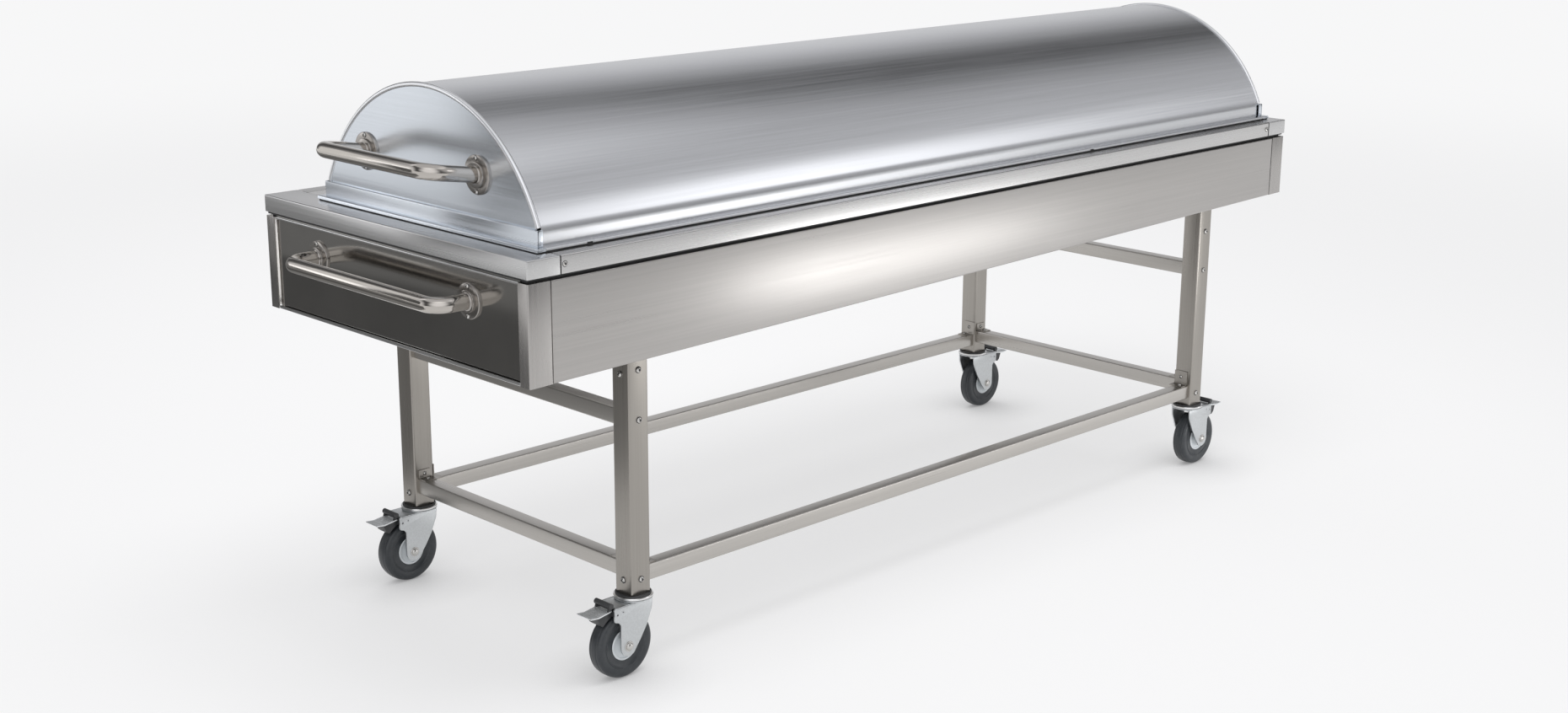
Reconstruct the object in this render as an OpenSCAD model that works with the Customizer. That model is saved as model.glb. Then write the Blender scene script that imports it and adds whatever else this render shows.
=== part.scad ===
// Mortuary transfer trolley with a lift-off arched cover, in millimetres.
// X runs along the trolley with the near end at -X, Y runs across it and Z is up from the floor.

/* [Deck] */
// Length of the deck
deck_l = 2200; // [2160:10:2240]
// Width of the deck
deck_w = 785; // [775:5:815]
// Height of the deck top above the floor
deck_h = 800; // [780:5:840]
// Height of the folded rim round the deck
rim_h = 31; // [26:1:36]
// Length of the end rail's returns along the sides
rim_return = 67; // [64:1:74]
// Dark gap between the rim and the apron
shadow_gap = 4; // [3:0.5:6]
// Thickness of all the folded sheet
sheet = 2; // [1.5:0.5:2.5]

/* [Apron] */
// Depth of the apron below the deck top at the near end
apron_deep_near = 212; // [195:1:220]
// Depth of the apron below the deck top at the far end
apron_deep_far = 170; // [160:1:220]
// Width of a corner post on the long side
post_side = 46; // [40:1:55]
// Width of a corner post on the end
post_end = 26; // [20:1:32]
// Depth of the end panels behind the corner posts
panel_recess = 4; // [3:0.5:6]
// Height of the bright sill under an end panel
sill_h = 6; // [5:0.5:10]

/* [Legs and rails] */
// Outside width of the square leg tube
leg_size = 44; // [40:1:48]
// Distance of the legs' outer faces behind the deck edge
leg_inset = 43.5; // [40:0.5:48]
// Distance from the near end of the deck to the middle of the near legs
leg_gap_near = 265; // [240:5:300]
// Distance from the far end of the deck to the middle of the far legs
leg_gap_far = 235; // [210:5:300]
// Outside width of the square rail tube
rail_size = 30; // [26:1:32]
// Height of the lower side rails' middle above the leg bottoms
side_rail_rise = 29; // [29:1:34]
// Height of the lower end rails' middle above the leg bottoms
end_rail_rise = 39; // [39:1:44]
// Depth of the upper end rails' middle below the deck top
upper_rail_drop = 327; // [300:1:360]
// Diameter of the frame bolts
bolt_d = 6; // [5:0.5:6]

/* [Cover] */
// Bare deck beside the cover on the right
cover_margin_right = 30; // [26:1:36]
// Bare deck beside the cover on the left
cover_margin_left = 110; // [104:1:114]
// Gap from the near end of the deck to the cover
cover_gap_near = 45; // [42:1:60]
// Gap from the far end of the deck to the cover
cover_gap_far = 25; // [24:1:40]
// Reach of the flange beyond the foot of the arch
arch_inset = 16.5; // [15.5:0.5:19]
// Height of the arch above the deck top
arch_h = 240; // [230:1:260]
// Height of the upright skirt under the arch
skirt_h = 34; // [30:1:38]
// Diameter of the rolled bead on the arch edges
bead_d = 9; // [8:0.5:10]

/* [Handles] */
// Diameter of the handle tube
tube_d = 28; // [25:0.5:30]
// Distance from the deck edge to the foot of a push handle
push_margin = 165.5; // [150:0.5:180]
// Depth of the push handles below the deck top
push_drop = 94; // [85:1:105]
// Reach of a push handle to its middle line
push_reach = 67; // [60:1:70]
// Distance from the foot of the arch to the foot of a cover handle
lift_margin = 143; // [138:1:160]
// Height of the cover handle feet above the deck top
lift_rise = 105; // [98:1:112]
// Reach of a cover handle to its middle line
lift_reach = 102; // [90:1:105]
// Upward tilt of a cover handle in degrees
lift_tilt = 9; // [0:1:12]

/* [Body tray] */
// Gap between the foot of the arch and the rim of the body tray
tray_gap = 26; // [24:1:32]
// Depth of the well in the deck
well_h = 90; // [80:1:100]

/* [Casters] */
// Diameter of a wheel
wheel_d = 125; // [120:1:130]
// Width of a wheel
wheel_w = 32; // [28:1:34]
// Distance from the swivel axis to the axle
trail = 32; // [30:1:34]

/* [Hidden] */
$fn = 48;

near = -1;
far = 1;
left = 1;
right = -1;

// Clearances: a gap between butted sheets, a slide-in fit and a turning fit.
seam = 0.5;
slip = 0.3;
running = 0.06;
screw_play = 0.1;

// Heights of the deck and what hangs from it.
plate_z = deck_h - sheet;
rim_z = deck_h - rim_h;
apron_top = rim_z - shadow_gap;
deck_half_l = deck_l / 2;
deck_half_w = deck_w / 2;
side_flange = 40;
cover_w = deck_w - cover_margin_left - cover_margin_right;
cover_shift = (cover_margin_right - cover_margin_left) / 2;

// Legs.
leg_near = deck_half_l - leg_gap_near;
leg_far = deck_half_l - leg_gap_far;
leg_wall = 2;
leg_y = deck_half_w - leg_inset - leg_size / 2;
caster_rise = 30;
caster_h = wheel_d + caster_rise;
leg_foot = caster_h;
leg_top = apron_top;
leg_bore = leg_size - 2 * leg_wall;
leg_in = leg_y - leg_size / 2;

// Box bearers under the deck plate, which stand on the outer part of the leg tops.
bearer_wall = 2;
bearer_rim_gap = 3.5;
bearer_end_gap = 3;
bearer_seat = 25;
bearer_in = leg_y + leg_size / 2 - bearer_seat;
bearer_out = deck_half_w - sheet - bearer_rim_gap;
bearer_half_l = deck_half_l - bearer_end_gap;
end_bearer_w = 80;

// The well lies in the middle of the cover and clears the legs.
well_leg_gap = 4;
well_end_gap = 33;
well_half_w = leg_in - well_leg_gap + cover_shift;
well_half_l = deck_half_l - end_bearer_w - well_end_gap;
well_floor = deck_h - well_h;

// Leg sockets and the bolts that hold them.
socket_l = 220;
socket_w = leg_bore - 2 * slip;
socket_wall = 3;
socket_block = 30;
socket_z = leg_top - socket_l;
socket_bolt_step = 10;
socket_end_bolt_z = socket_z + socket_bolt_step;
socket_side_bolt_z = socket_end_bolt_z + socket_bolt_step;

// Rails.
rail_wall = 2;
rail_block = 20;
side_rail_z = leg_foot + side_rail_rise;
end_rail_z = leg_foot + end_rail_rise;
upper_rail_z = deck_h - upper_rail_drop;
bolt_drop = 6;
side_bolt_z = side_rail_z - bolt_drop;
end_bolt_z = end_rail_z - bolt_drop;
bolt_hole = bolt_d + 2 * screw_play;
bolt_head_d = 11;
bolt_head_h = 3.5;
rail_bolt_grip = 14;
rail_bolt_l = leg_size + rail_bolt_grip;
rail_bore_l = rail_bolt_grip + 2;
socket_bolt_l = 20;

// Angle brackets over the rails, with the screws in them.
bracket_leaf = 23;
bracket_trim = 10;
side_leaf_h = 33;
end_leaf_h = 18;
bracket_screw_d = 5;
bracket_screw_l = 10;
bracket_head_d = 9;
bracket_head_h = 3;
bracket_hole = bracket_screw_d + 2 * screw_play;
side_leaf_z = side_rail_z + rail_size / 2;
end_leaf_z = end_rail_z + rail_size / 2;
side_leaf_w = leg_size - bracket_trim;
leaf_screw_x = 13;
side_leaf_screw_rise = 19;
end_leaf_screw_rise = 10;
side_leaf_screw_z = side_leaf_z + side_leaf_screw_rise;
end_leaf_screw_z = end_leaf_z + end_leaf_screw_rise;

// Apron, posts and end panels, all set just inside the rim.
apron_inset = 1;
apron_half_w = deck_half_w - apron_inset;
apron_half_l = deck_half_l - apron_inset;
apron_lip = 18;
apron_flange = 40;
panel_x = apron_half_l - sheet - panel_recess;
panel_flange = 34;
sill_inset = 1;
sill_x = apron_half_l - sill_inset;
sill_w = 56;
post_in_x = apron_half_l - post_side;
post_in_y = apron_half_w - post_end;

// Cover: the flange lip, the seal inside it, the skirt and the arch.
cover_x0 = cover_gap_near - deck_half_l;
cover_x1 = deck_half_l - cover_gap_far;
cover_mid = (cover_x0 + cover_x1) / 2;
cover_half_l = (cover_x1 - cover_x0) / 2;
cover_half_w = cover_w / 2;
lip_gap = 2;
lip_z = deck_h + lip_gap;
lip_h = 6;
flange_z = lip_z + lip_h;
seal_w = 10;
arch_z = deck_h + skirt_h;
arch_half = cover_half_w - arch_inset;
arch_rise = arch_h - skirt_h;
arch_r = (arch_half * arch_half + arch_rise * arch_rise) / (2 * arch_rise);
arch_mid_z = arch_z + arch_rise - arch_r;
foot_join = 1;
panel_inset = 16;
cover_panel_x = cover_half_l - panel_inset;
bead_x = cover_panel_x - sheet;
bead_r = arch_r - sheet / 2;
shell_half_l = bead_x - bead_d / 2;
cover_panel_r = bead_r - bead_d / 2;
corner_l = 18;
flange_seam_x = cover_half_l - corner_l;
plinth_inset = 10;
plinth_x = cover_half_l - plinth_inset;
plinth_return = 12;
plinth_stand = 4.5;
plinth_half = arch_half + plinth_stand;
plinth_rise = 1;
plinth_z = arch_z + plinth_rise;
bead_gap = 2;
bead_start = asin((plinth_z + bead_gap - arch_mid_z) / bead_r);
notch_w = 12;
near_notch = 109;
far_notch = 669;
notch_places = [near_notch - cover_half_l, cover_half_l - far_notch];

// Handles and their round feet.
tube_wall = 2;
tube_bore = tube_d - 2 * tube_wall;
bend_r = 32;
push_span = deck_w - 2 * push_margin;
push_z = deck_h - push_drop;
lift_span = 2 * (arch_half - lift_margin);
lift_z = deck_h + lift_rise;
lift_shift = 15;
lift_y = cover_shift + lift_shift;
foot_disc_h = 4;
foot_boss_h = 4;
foot_h = foot_disc_h + foot_boss_h;
push_foot_reach = 17;
lift_foot_reach = 20;
push_foot_d = tube_d + 2 * push_foot_reach;
lift_foot_d = tube_d + 2 * lift_foot_reach;
foot_screw_d = 5;
foot_screw_l = 12;
foot_head_d = 8;
foot_head_h = 3;
foot_head_margin = 1.5;
boss_margin = 1.5;
push_screw_r = push_foot_d / 2 - foot_head_d / 2 - foot_head_margin;
lift_screw_r = lift_foot_d / 2 - foot_head_d / 2 - foot_head_margin;
push_boss_d = 2 * (push_screw_r - foot_head_d / 2 - boss_margin);
lift_boss_d = 2 * (lift_screw_r - foot_head_d / 2 - boss_margin);

// Rim screws beside the end rails.
rim_screw_gap = 10;
rim_screw_drop = 15;
rim_screw_x = deck_half_l - rim_return - rim_screw_gap;
rim_screw_z = deck_h - rim_screw_drop;
rim_screw_d = 4;
rim_screw_l = 11;
rim_head_d = 7;
rim_head_h = 1.5;

// Body tray, its runners and grips.
runner_h = 8;
runner_w = 40;
runner_side_gap = 81;
runner_end_gap = 85;
runner_y = well_half_w - runner_side_gap;
runner_half_l = well_half_l - runner_end_gap;
tray_floor = well_floor + runner_h;
tray_half_w = arch_half - tray_gap;
tray_over_end = 15;
tray_half_l = well_half_l + tray_over_end;
tray_side_gap = 4;
tray_end_gap = 8;
tray_bowl_half_w = well_half_w - sheet - tray_side_gap;
tray_bowl_half_l = well_half_l - sheet - tray_end_gap;
tray_rim_gap = 2;
tray_rim_z = deck_h + tray_rim_gap;
tray_edge_h = 8;
grip_d = 10;
grip_span = 120;
grip_reach = 36;
grip_bend = 14;
grip_inset = 13;
grip_x = tray_half_l - grip_inset;

// Casters, with heights counted from the floor.
axle_z = wheel_d / 2;
crown_t = 3;
race_h = 5;
race_gap = 0.5;
upper_race_h = 4;
race_d = 71;
cap_h = 4;
crown_top = leg_foot - cap_h - upper_race_h - race_gap - race_h;
cap_d = 70;
plug_h = 15;
plug_w = leg_bore - 2 * slip;
pin_d = 12;
pin_hole = pin_d + 2 * running;
pin_nut_d = 18;
pin_nut_h = 8;
wheel_side_gap = 6;
fork_t = 3;
fork_half = wheel_w / 2 + wheel_side_gap;
fork_foot_r = 18;
fork_ear_l = 14;
fork_nose_x = trail + fork_foot_r;
fork_ear_x = fork_nose_x + fork_ear_l;
axle_d = 12;
axle_hole = axle_d + 2 * screw_play;
axle_head_d = 20;
axle_head_h = 6;
hub_r = 29;
hub_half = fork_half - slip;
pivot_back = 6.5;
pivot_rise = 3.5;
pivot_x = fork_ear_x - pivot_back;
pivot_z = wheel_d + pivot_rise;
pivot_d = 6;
pivot_bore = pivot_d + 2 * running;
barrel_d = 12;
shoe_gap = 7;
shoe_half = wheel_w / 2 - 2;
treadle_half = wheel_w / 2 + 3.5;
treadle_l = 40;
release_out = 11;
release_rise = 25;
release_x = fork_ear_x + release_out;
release_z = wheel_d + release_rise;
release_d = 12;
rib_count = 5;
rib_step = 7;

function leg_x(end) = end < 0 ? -leg_near : leg_far;

function apron_z(x) =
    deck_h - apron_deep_near
    + (apron_deep_near - apron_deep_far) * (x + deck_half_l) / deck_l;

// Box from its lowest corner to its highest corner.
module box(low, high) {
    translate(low) cube(high - low);
}

// Box that spans both ways from the middle in Y.
module wide_box(x0, x1, half, z0, z1) {
    box([x0, -half, z0], [x1, half, z1]);
}

module both_ends() {
    for (end = [near, far]) scale_end(end) children();
}

module both_sides() {
    for (side = [left, right]) scale_side(side) children();
}

// The end or the side of the trolley that a piece is drawn for, by mirroring.
module scale_end(end) {
    if (end < 0) mirror([1, 0, 0]) children();
    else children();
}

module scale_side(side) {
    if (side < 0) mirror([0, 1, 0]) children();
    else children();
}

module facing_x(end) {
    rotate([0, 90 * end, 0]) children();
}

module facing_y(side) {
    rotate([-90 * side, 0, 0]) children();
}

// Screw with its head above Z = 0 and its shank below.
module screw(head_d, head_h, shank_d, shank_l) {
    rotate_extrude()
        polygon([
            [0, -shank_l],
            [shank_d / 2, -shank_l],
            [shank_d / 2, 0],
            [head_d / 2, 0],
            [head_d / 2, head_h / 2],
            [head_d / 3, head_h],
            [0, head_h]
        ]);
}

module hole(d, deep) {
    translate([0, 0, -deep]) cylinder(h = deep + 1, d = d);
}

// Upright profile in X and Z, given a thickness from y0 towards +Y.
module upright(y0, thick) {
    translate([0, y0 + thick, 0]) rotate([90, 0, 0]) linear_extrude(thick) children();
}

// Sheet from the sloping bottom of the apron up to its top.
module apron_sheet(x0, x1, y0, thick) {
    upright(y0, thick)
        polygon([[x0, apron_z(x0)], [x1, apron_z(x1)], [x1, apron_top], [x0, apron_top]]);
}

module frame_ring(half_l, half_w, wall, z0, z1) {
    difference() {
        box([-half_l, -half_w, z0], [half_l, half_w, z1]);
        box([wall - half_l, wall - half_w, z0 - 1], [half_l - wall, half_w - wall, z1 + 1]);
    }
}

// Deck.

module deck_pan() {
    half_l = deck_half_l - rim_return - seam;
    half_w = deck_half_w - side_flange - seam;
    color("lightsteelblue") difference() {
        union() {
            box([-half_l, -half_w, plate_z], [half_l, half_w, deck_h]);
            translate([0, cover_shift, 0])
                box(
                    [-well_half_l, -well_half_w, well_floor - sheet],
                    [well_half_l, well_half_w, deck_h]
                );
        }
        translate([0, cover_shift, 0])
            box(
                [sheet - well_half_l, sheet - well_half_w, well_floor],
                [well_half_l - sheet, well_half_w - sheet, deck_h + 1]
            );
    }
}

module deck_end_rail(end) {
    in_x = deck_half_l - rim_return;
    color("silver") scale_end(end) {
        wide_box(in_x, deck_half_l, deck_half_w, plate_z, deck_h);
        wide_box(deck_half_l - sheet, deck_half_l, deck_half_w, rim_z, deck_h);
        both_sides()
            box([in_x, deck_half_w - sheet, rim_z], [deck_half_l, deck_half_w, deck_h]);
    }
}

module deck_side_rails() {
    half_l = deck_half_l - rim_return - seam;
    color("silver") both_sides() difference() {
        union() {
            box(
                [-half_l, deck_half_w - side_flange, plate_z],
                [half_l, deck_half_w, deck_h]
            );
            box([-half_l, deck_half_w - sheet, rim_z], [half_l, deck_half_w, deck_h]);
        }
        rim_screw_places() hole(rim_screw_d + 4 * screw_play, rim_screw_l + 1);
    }
}

module rim_screw_places() {
    for (x = [-rim_screw_x, rim_screw_x])
        translate([x, deck_half_w, rim_screw_z]) facing_y(left) children();
}

module deck_rail_screws() {
    color("gainsboro") both_sides() rim_screw_places()
        screw(rim_head_d, rim_head_h, rim_screw_d, rim_screw_l);
}

module deck_bearers() {
    z0 = apron_top;
    z1 = plate_z;
    color("gray") {
        both_sides() difference() {
            box([-bearer_half_l, bearer_in, z0], [bearer_half_l, bearer_out, z1]);
            box(
                [-bearer_half_l - 1, bearer_in + bearer_wall, z0 + bearer_wall],
                [bearer_half_l + 1, bearer_out - bearer_wall, z1 - bearer_wall]
            );
            rim_screw_places() hole(rim_screw_d + 2 * screw_play, rim_screw_l + 1);
        }
        both_ends() difference() {
            wide_box(bearer_half_l - end_bearer_w, bearer_half_l, bearer_in, z0, z1);
            wide_box(
                bearer_half_l - end_bearer_w + bearer_wall,
                bearer_half_l - bearer_wall,
                bearer_in + 1,
                z0 + bearer_wall,
                z1 - bearer_wall
            );
        }
    }
}

// Apron.

module apron_side(side) {
    half_l = post_in_x - seam;
    y0 = apron_half_w - sheet;
    color("lightgray") scale_side(side) {
        apron_sheet(-half_l, half_l, y0, sheet);
        box(
            [-half_l, apron_half_w - apron_flange, apron_top - sheet],
            [half_l, apron_half_w, apron_top]
        );
        upright(apron_half_w - apron_lip, apron_lip)
            polygon([
                [-half_l, apron_z(-half_l)],
                [half_l, apron_z(half_l)],
                [half_l, apron_z(half_l) + sheet],
                [-half_l, apron_z(-half_l) + sheet]
            ]);
    }
}

module apron_corner_posts() {
    color("silver") both_sides() {
        for (end = [near, far]) {
            x0 = end < 0 ? -apron_half_l : post_in_x;
            x1 = x0 + post_side;
            face_x = end < 0 ? -apron_half_l : apron_half_l - sheet;
            apron_sheet(x0, x1, apron_half_w - sheet, sheet);
            apron_sheet(face_x, face_x + sheet, post_in_y, post_end);
            box([x0, post_in_y, apron_top - sheet], [x1, apron_half_w, apron_top]);
        }
    }
}

module foot_screw_places(span, screw_r) {
    for (y = [-span / 2, span / 2])
        for (z = [-screw_r, screw_r])
            translate([foot_disc_h, y, z]) facing_x(far) children();
}

module foot_screw_holes(span, screw_r) {
    foot_screw_places(span, screw_r) hole(foot_screw_d + 2 * screw_play, foot_screw_l + 1);
}

module end_panel(end) {
    half = post_in_y - seam;
    z0 = apron_z(end * sill_x) + sheet;
    color("dimgray") scale_end(end) difference() {
        union() {
            wide_box(panel_x - sheet, panel_x, half, z0, apron_top);
            wide_box(
                panel_x - panel_flange, panel_x, half, apron_top - sheet, apron_top
            );
        }
        translate([panel_x, 0, push_z]) foot_screw_holes(push_span, push_screw_r);
    }
}

module end_sills() {
    half = post_in_y - seam;
    color("gainsboro")
        for (end = [near, far]) {
            z0 = apron_z(end * sill_x);
            scale_end(end) {
                wide_box(sill_x - sill_w, sill_x, half, z0, z0 + sheet);
                wide_box(sill_x - sheet, sill_x, half, z0, z0 + sill_h);
            }
        }
}

// Handles.

module tube_section(d, bore) {
    difference() {
        circle(d = d);
        circle(d = bore);
    }
}

// D-shaped handle whose feet lie on Y and whose bar stands at X = reach.
module d_handle(span, reach, start) {
    bar_y = span / 2 - bend_r;
    for (side = [right, left]) {
        translate([start, side * span / 2, 0]) rotate([0, 90, 0])
            linear_extrude(reach - bend_r - start) tube_section(tube_d, tube_bore);
        translate([reach - bend_r, side * bar_y, 0])
            rotate([0, 0, side < 0 ? -90 : 0])
                rotate_extrude(angle = 90)
                    translate([bend_r, 0]) tube_section(tube_d, tube_bore);
    }
    translate([reach, bar_y, 0]) rotate([90, 0, 0])
        linear_extrude(2 * bar_y) tube_section(tube_d, tube_bore);
}

module push_handle(end) {
    color("whitesmoke") scale_end(end) translate([panel_x, 0, push_z])
        d_handle(push_span, push_reach, foot_h);
}

// The feet of the tilted handle are trimmed flush with the face of the round feet.
module cover_handle(end) {
    color("whitesmoke") at_cover_handle(end) intersection() {
        rotate([0, -lift_tilt, 0]) d_handle(lift_span, lift_reach, 0);
        box([foot_h, -lift_span, -lift_span], [2 * lift_reach, lift_span, lift_span]);
    }
}

module at_cover_handle(end) {
    translate([cover_mid, 0, 0]) scale_end(end)
        translate([cover_panel_x, lift_y, lift_z]) children();
}

module handle_feet(span, foot_d, boss_d, screw_r) {
    difference() {
        for (y = [-span / 2, span / 2])
            translate([0, y, 0]) rotate([0, 90, 0]) {
                cylinder(h = foot_disc_h, d = foot_d);
                cylinder(h = foot_h, d = boss_d);
            }
        foot_screw_holes(span, screw_r);
    }
}

module push_handle_flanges() {
    color("silver") both_ends() translate([panel_x, 0, push_z])
        handle_feet(push_span, push_foot_d, push_boss_d, push_screw_r);
}

module push_handle_screws() {
    color("gainsboro") both_ends() translate([panel_x, 0, push_z])
        foot_screw_places(push_span, push_screw_r)
            screw(foot_head_d, foot_head_h, foot_screw_d, foot_screw_l);
}

module cover_handle_flanges() {
    color("silver") for (end = [near, far]) at_cover_handle(end)
        handle_feet(lift_span, lift_foot_d, lift_boss_d, lift_screw_r);
}

module cover_handle_screws() {
    color("gainsboro") for (end = [near, far]) at_cover_handle(end)
        foot_screw_places(lift_span, lift_screw_r)
            screw(foot_head_d, foot_head_h, foot_screw_d, foot_screw_l);
}

// Legs and rails.

module at_leg(end, side) {
    translate([leg_x(end), side * leg_y, 0]) scale_end(end) scale_side(side) children();
}

module every_leg() {
    for (end = [near, far]) for (side = [left, right]) at_leg(end, side) children();
}

// Bolts at one leg, drawn for a leg whose outer faces look towards +X and +Y.
module socket_bolt_places() {
    translate([0, leg_size / 2, socket_side_bolt_z]) facing_y(left) children();
    translate([leg_size / 2, 0, socket_end_bolt_z]) facing_x(far) children();
}

module rail_bolt_places() {
    for (z = [upper_rail_z, end_bolt_z])
        translate([0, leg_size / 2, z]) facing_y(left) children();
    translate([leg_size / 2, 0, side_bolt_z]) facing_x(far) children();
}

// Screws of the two brackets, on the leg's inner faces and down into the rails.
module leg_leaf_screw_places() {
    translate([-leg_size / 2 - sheet, -bracket_trim / 2, side_leaf_screw_z])
        facing_x(near) children();
    translate([0, -leg_size / 2 - sheet, end_leaf_screw_z]) facing_y(right) children();
}

module rail_leaf_screw_places() {
    translate([-leg_size / 2 - leaf_screw_x, 0, side_leaf_z + sheet]) children();
    translate([0, -leg_size / 2 - leaf_screw_x, end_leaf_z + sheet]) children();
}

module leg(end, side) {
    color("darkgray") at_leg(end, side) difference() {
        box([-leg_size / 2, -leg_size / 2, leg_foot], [leg_size / 2, leg_size / 2, leg_top]);
        box(
            [-leg_bore / 2, -leg_bore / 2, leg_foot - 1],
            [leg_bore / 2, leg_bore / 2, leg_top + 1]
        );
        socket_bolt_places() hole(bolt_hole, socket_bolt_l);
        rail_bolt_places() hole(bolt_hole, leg_size + 1);
        leg_leaf_screw_places() hole(bracket_hole, bracket_screw_l);
    }
}

module leg_sockets() {
    inner = socket_w / 2 - socket_wall;
    color("gray") every_leg() difference() {
        box([-socket_w / 2, -socket_w / 2, socket_z], [socket_w / 2, socket_w / 2, leg_top]);
        box([-inner, -inner, socket_z + socket_block], [inner, inner, leg_top + 1]);
        socket_bolt_places() hole(bolt_hole, socket_bolt_l + 1);
    }
}

// Square tube along X with a solid block closing each end.
module rail_tube(x0, x1) {
    half = rail_size / 2;
    inner = half - rail_wall;
    difference() {
        box([x0, -half, -half], [x1, half, half]);
        box([x0 + rail_block, -inner, -inner], [x1 - rail_block, inner, inner]);
    }
}

// Bores that a leg's bolts and bracket screws need in the rails at that leg.
module rail_holes() {
    every_leg() {
        rail_bolt_places() hole(bolt_hole, leg_size + rail_bore_l);
        rail_leaf_screw_places() hole(bracket_hole, bracket_screw_l + 1);
    }
}

module end_rail_pair(z) {
    difference() {
        for (end = [near, far])
            translate([leg_x(end), 0, z]) rotate([0, 0, 90]) rail_tube(-leg_in, leg_in);
        rail_holes();
    }
}

module upper_end_rails() {
    color("darkgray") end_rail_pair(upper_rail_z);
}

module lower_end_rails() {
    color("darkgray") end_rail_pair(end_rail_z);
}

module lower_side_rails() {
    color("darkgray") difference() {
        both_sides() translate([0, leg_y, side_rail_z])
            rail_tube(leg_size / 2 - leg_near, leg_far - leg_size / 2);
        rail_holes();
    }
}

// One bracket over the side rail and one over the end rail, at every leg.
module rail_brackets() {
    face = -leg_size / 2;
    leaf_half = rail_size / 2 - 1;
    color("lightgray") every_leg() difference() {
        union() {
            box(
                [face - sheet, face, side_leaf_z],
                [face, face + side_leaf_w, side_leaf_z + side_leaf_h]
            );
            box(
                [face - bracket_leaf, -leaf_half, side_leaf_z],
                [face, face + side_leaf_w, side_leaf_z + sheet]
            );
            box(
                [-side_leaf_w / 2, face - sheet, end_leaf_z],
                [side_leaf_w / 2, face, end_leaf_z + end_leaf_h]
            );
            box(
                [-leaf_half, face - bracket_leaf, end_leaf_z],
                [leaf_half, face, end_leaf_z + sheet]
            );
        }
        leg_leaf_screw_places() hole(bracket_hole, bracket_screw_l);
        rail_leaf_screw_places() hole(bracket_hole, bracket_screw_l);
    }
}

module frame_bolts() {
    color("gainsboro") every_leg() {
        socket_bolt_places() screw(bolt_head_d, bolt_head_h, bolt_d, socket_bolt_l);
        rail_bolt_places() screw(bolt_head_d, bolt_head_h, bolt_d, rail_bolt_l);
        leg_leaf_screw_places()
            screw(bracket_head_d, bracket_head_h, bracket_screw_d, bracket_screw_l);
        rail_leaf_screw_places()
            screw(bracket_head_d, bracket_head_h, bracket_screw_d, bracket_screw_l);
    }
}

// Cover.

// Folded section of the shell's arch, across the trolley.
module arch_section() {
    intersection() {
        translate([0, arch_mid_z]) difference() {
            circle(r = arch_r);
            circle(r = arch_r - sheet);
        }
        translate([-arch_r - 1, arch_z]) square([2 * arch_r + 2, arch_r]);
    }
}

// Section of the upright skirts below the arch, up to a height.
module skirt_section(top_z) {
    for (side = [right, left])
        translate([side < 0 ? -arch_half : arch_half - sheet, flange_z - sheet])
            square([sheet, top_z - flange_z + sheet]);
}

module side_flange_section() {
    for (side = [0, 1]) mirror([side, 0]) {
        translate([arch_half - sheet, flange_z - sheet])
            square([cover_half_w - arch_half + sheet, sheet]);
        translate([cover_half_w - sheet, lip_z]) square([sheet, lip_h]);
    }
}

// Section across the trolley, extruded both ways along X from the cover's middle.
module along_cover(half_l) {
    translate([cover_mid - half_l, cover_shift, 0]) rotate([90, 0, 90])
        linear_extrude(2 * half_l) children();
}

module cover_shell() {
    color("lightsteelblue") difference() {
        union() {
            along_cover(shell_half_l) arch_section();
            along_cover(shell_half_l) skirt_section(arch_z + foot_join);
            along_cover(cover_panel_x - sheet - slip) skirt_section(plinth_z - sheet);
            along_cover(flange_seam_x - slip) side_flange_section();
        }
        for (x = notch_places)
            translate([cover_mid + x, cover_shift, 0])
                wide_box(
                    -notch_w / 2, notch_w / 2, cover_half_w + 1, lip_z - 1, flange_z - sheet
                );
    }
}

module cover_end(end) {
    half = sqrt(cover_panel_r * cover_panel_r - pow(arch_z - arch_mid_z, 2));
    foot_half = arch_half - sheet - slip;
    color("aliceblue") translate([cover_mid, 0, 0]) scale_end(end) difference() {
        translate([cover_panel_x - sheet, cover_shift, 0]) rotate([90, 0, 90])
            linear_extrude(sheet) {
                intersection() {
                    translate([0, arch_mid_z]) circle(r = cover_panel_r);
                    translate([-arch_r, arch_z]) square([2 * arch_r, arch_r]);
                }
                translate([-half, flange_z]) square([2 * half, arch_z - flange_z]);
                translate([-foot_half, flange_z])
                    square([2 * foot_half, plinth_z - sheet - flange_z]);
            }
        translate([cover_panel_x, lift_y, lift_z]) foot_screw_holes(lift_span, lift_screw_r);
    }
}

module cover_edge_beads() {
    color("silver")
        for (end = [near, far])
            translate([cover_mid + end * bead_x, cover_shift, arch_mid_z])
                rotate([90, 0, 90]) rotate([0, 0, bead_start])
                    rotate_extrude(angle = 180 - 2 * bead_start)
                        translate([bead_r, 0]) circle(d = bead_d);
}

// Skirt of one end: flange with its lip, upright plinth, corner returns and top ledge.
module end_skirt() {
    back_x = plinth_x - plinth_return;
    corner_half = cover_panel_r - 24;
    wide_box(flange_seam_x, cover_half_l, cover_half_w, flange_z - sheet, flange_z);
    wide_box(cover_half_l - sheet, cover_half_l, cover_half_w, lip_z, flange_z);
    both_sides() {
        box(
            [flange_seam_x, cover_half_w - sheet, lip_z],
            [cover_half_l, cover_half_w, flange_z]
        );
        box(
            [back_x, plinth_half - sheet, flange_z],
            [plinth_x, plinth_half, plinth_z]
        );
        box(
            [back_x, corner_half, plinth_z - sheet],
            [plinth_x, plinth_half, plinth_z]
        );
    }
    wide_box(plinth_x - sheet, plinth_x, plinth_half, flange_z, plinth_z);
    wide_box(cover_panel_x, plinth_x, plinth_half, plinth_z - sheet, plinth_z);
}

module cover_end_skirts() {
    color("gainsboro")
        for (end = [near, far])
            translate([cover_mid, cover_shift, 0]) scale_end(end) end_skirt();
}

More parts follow.
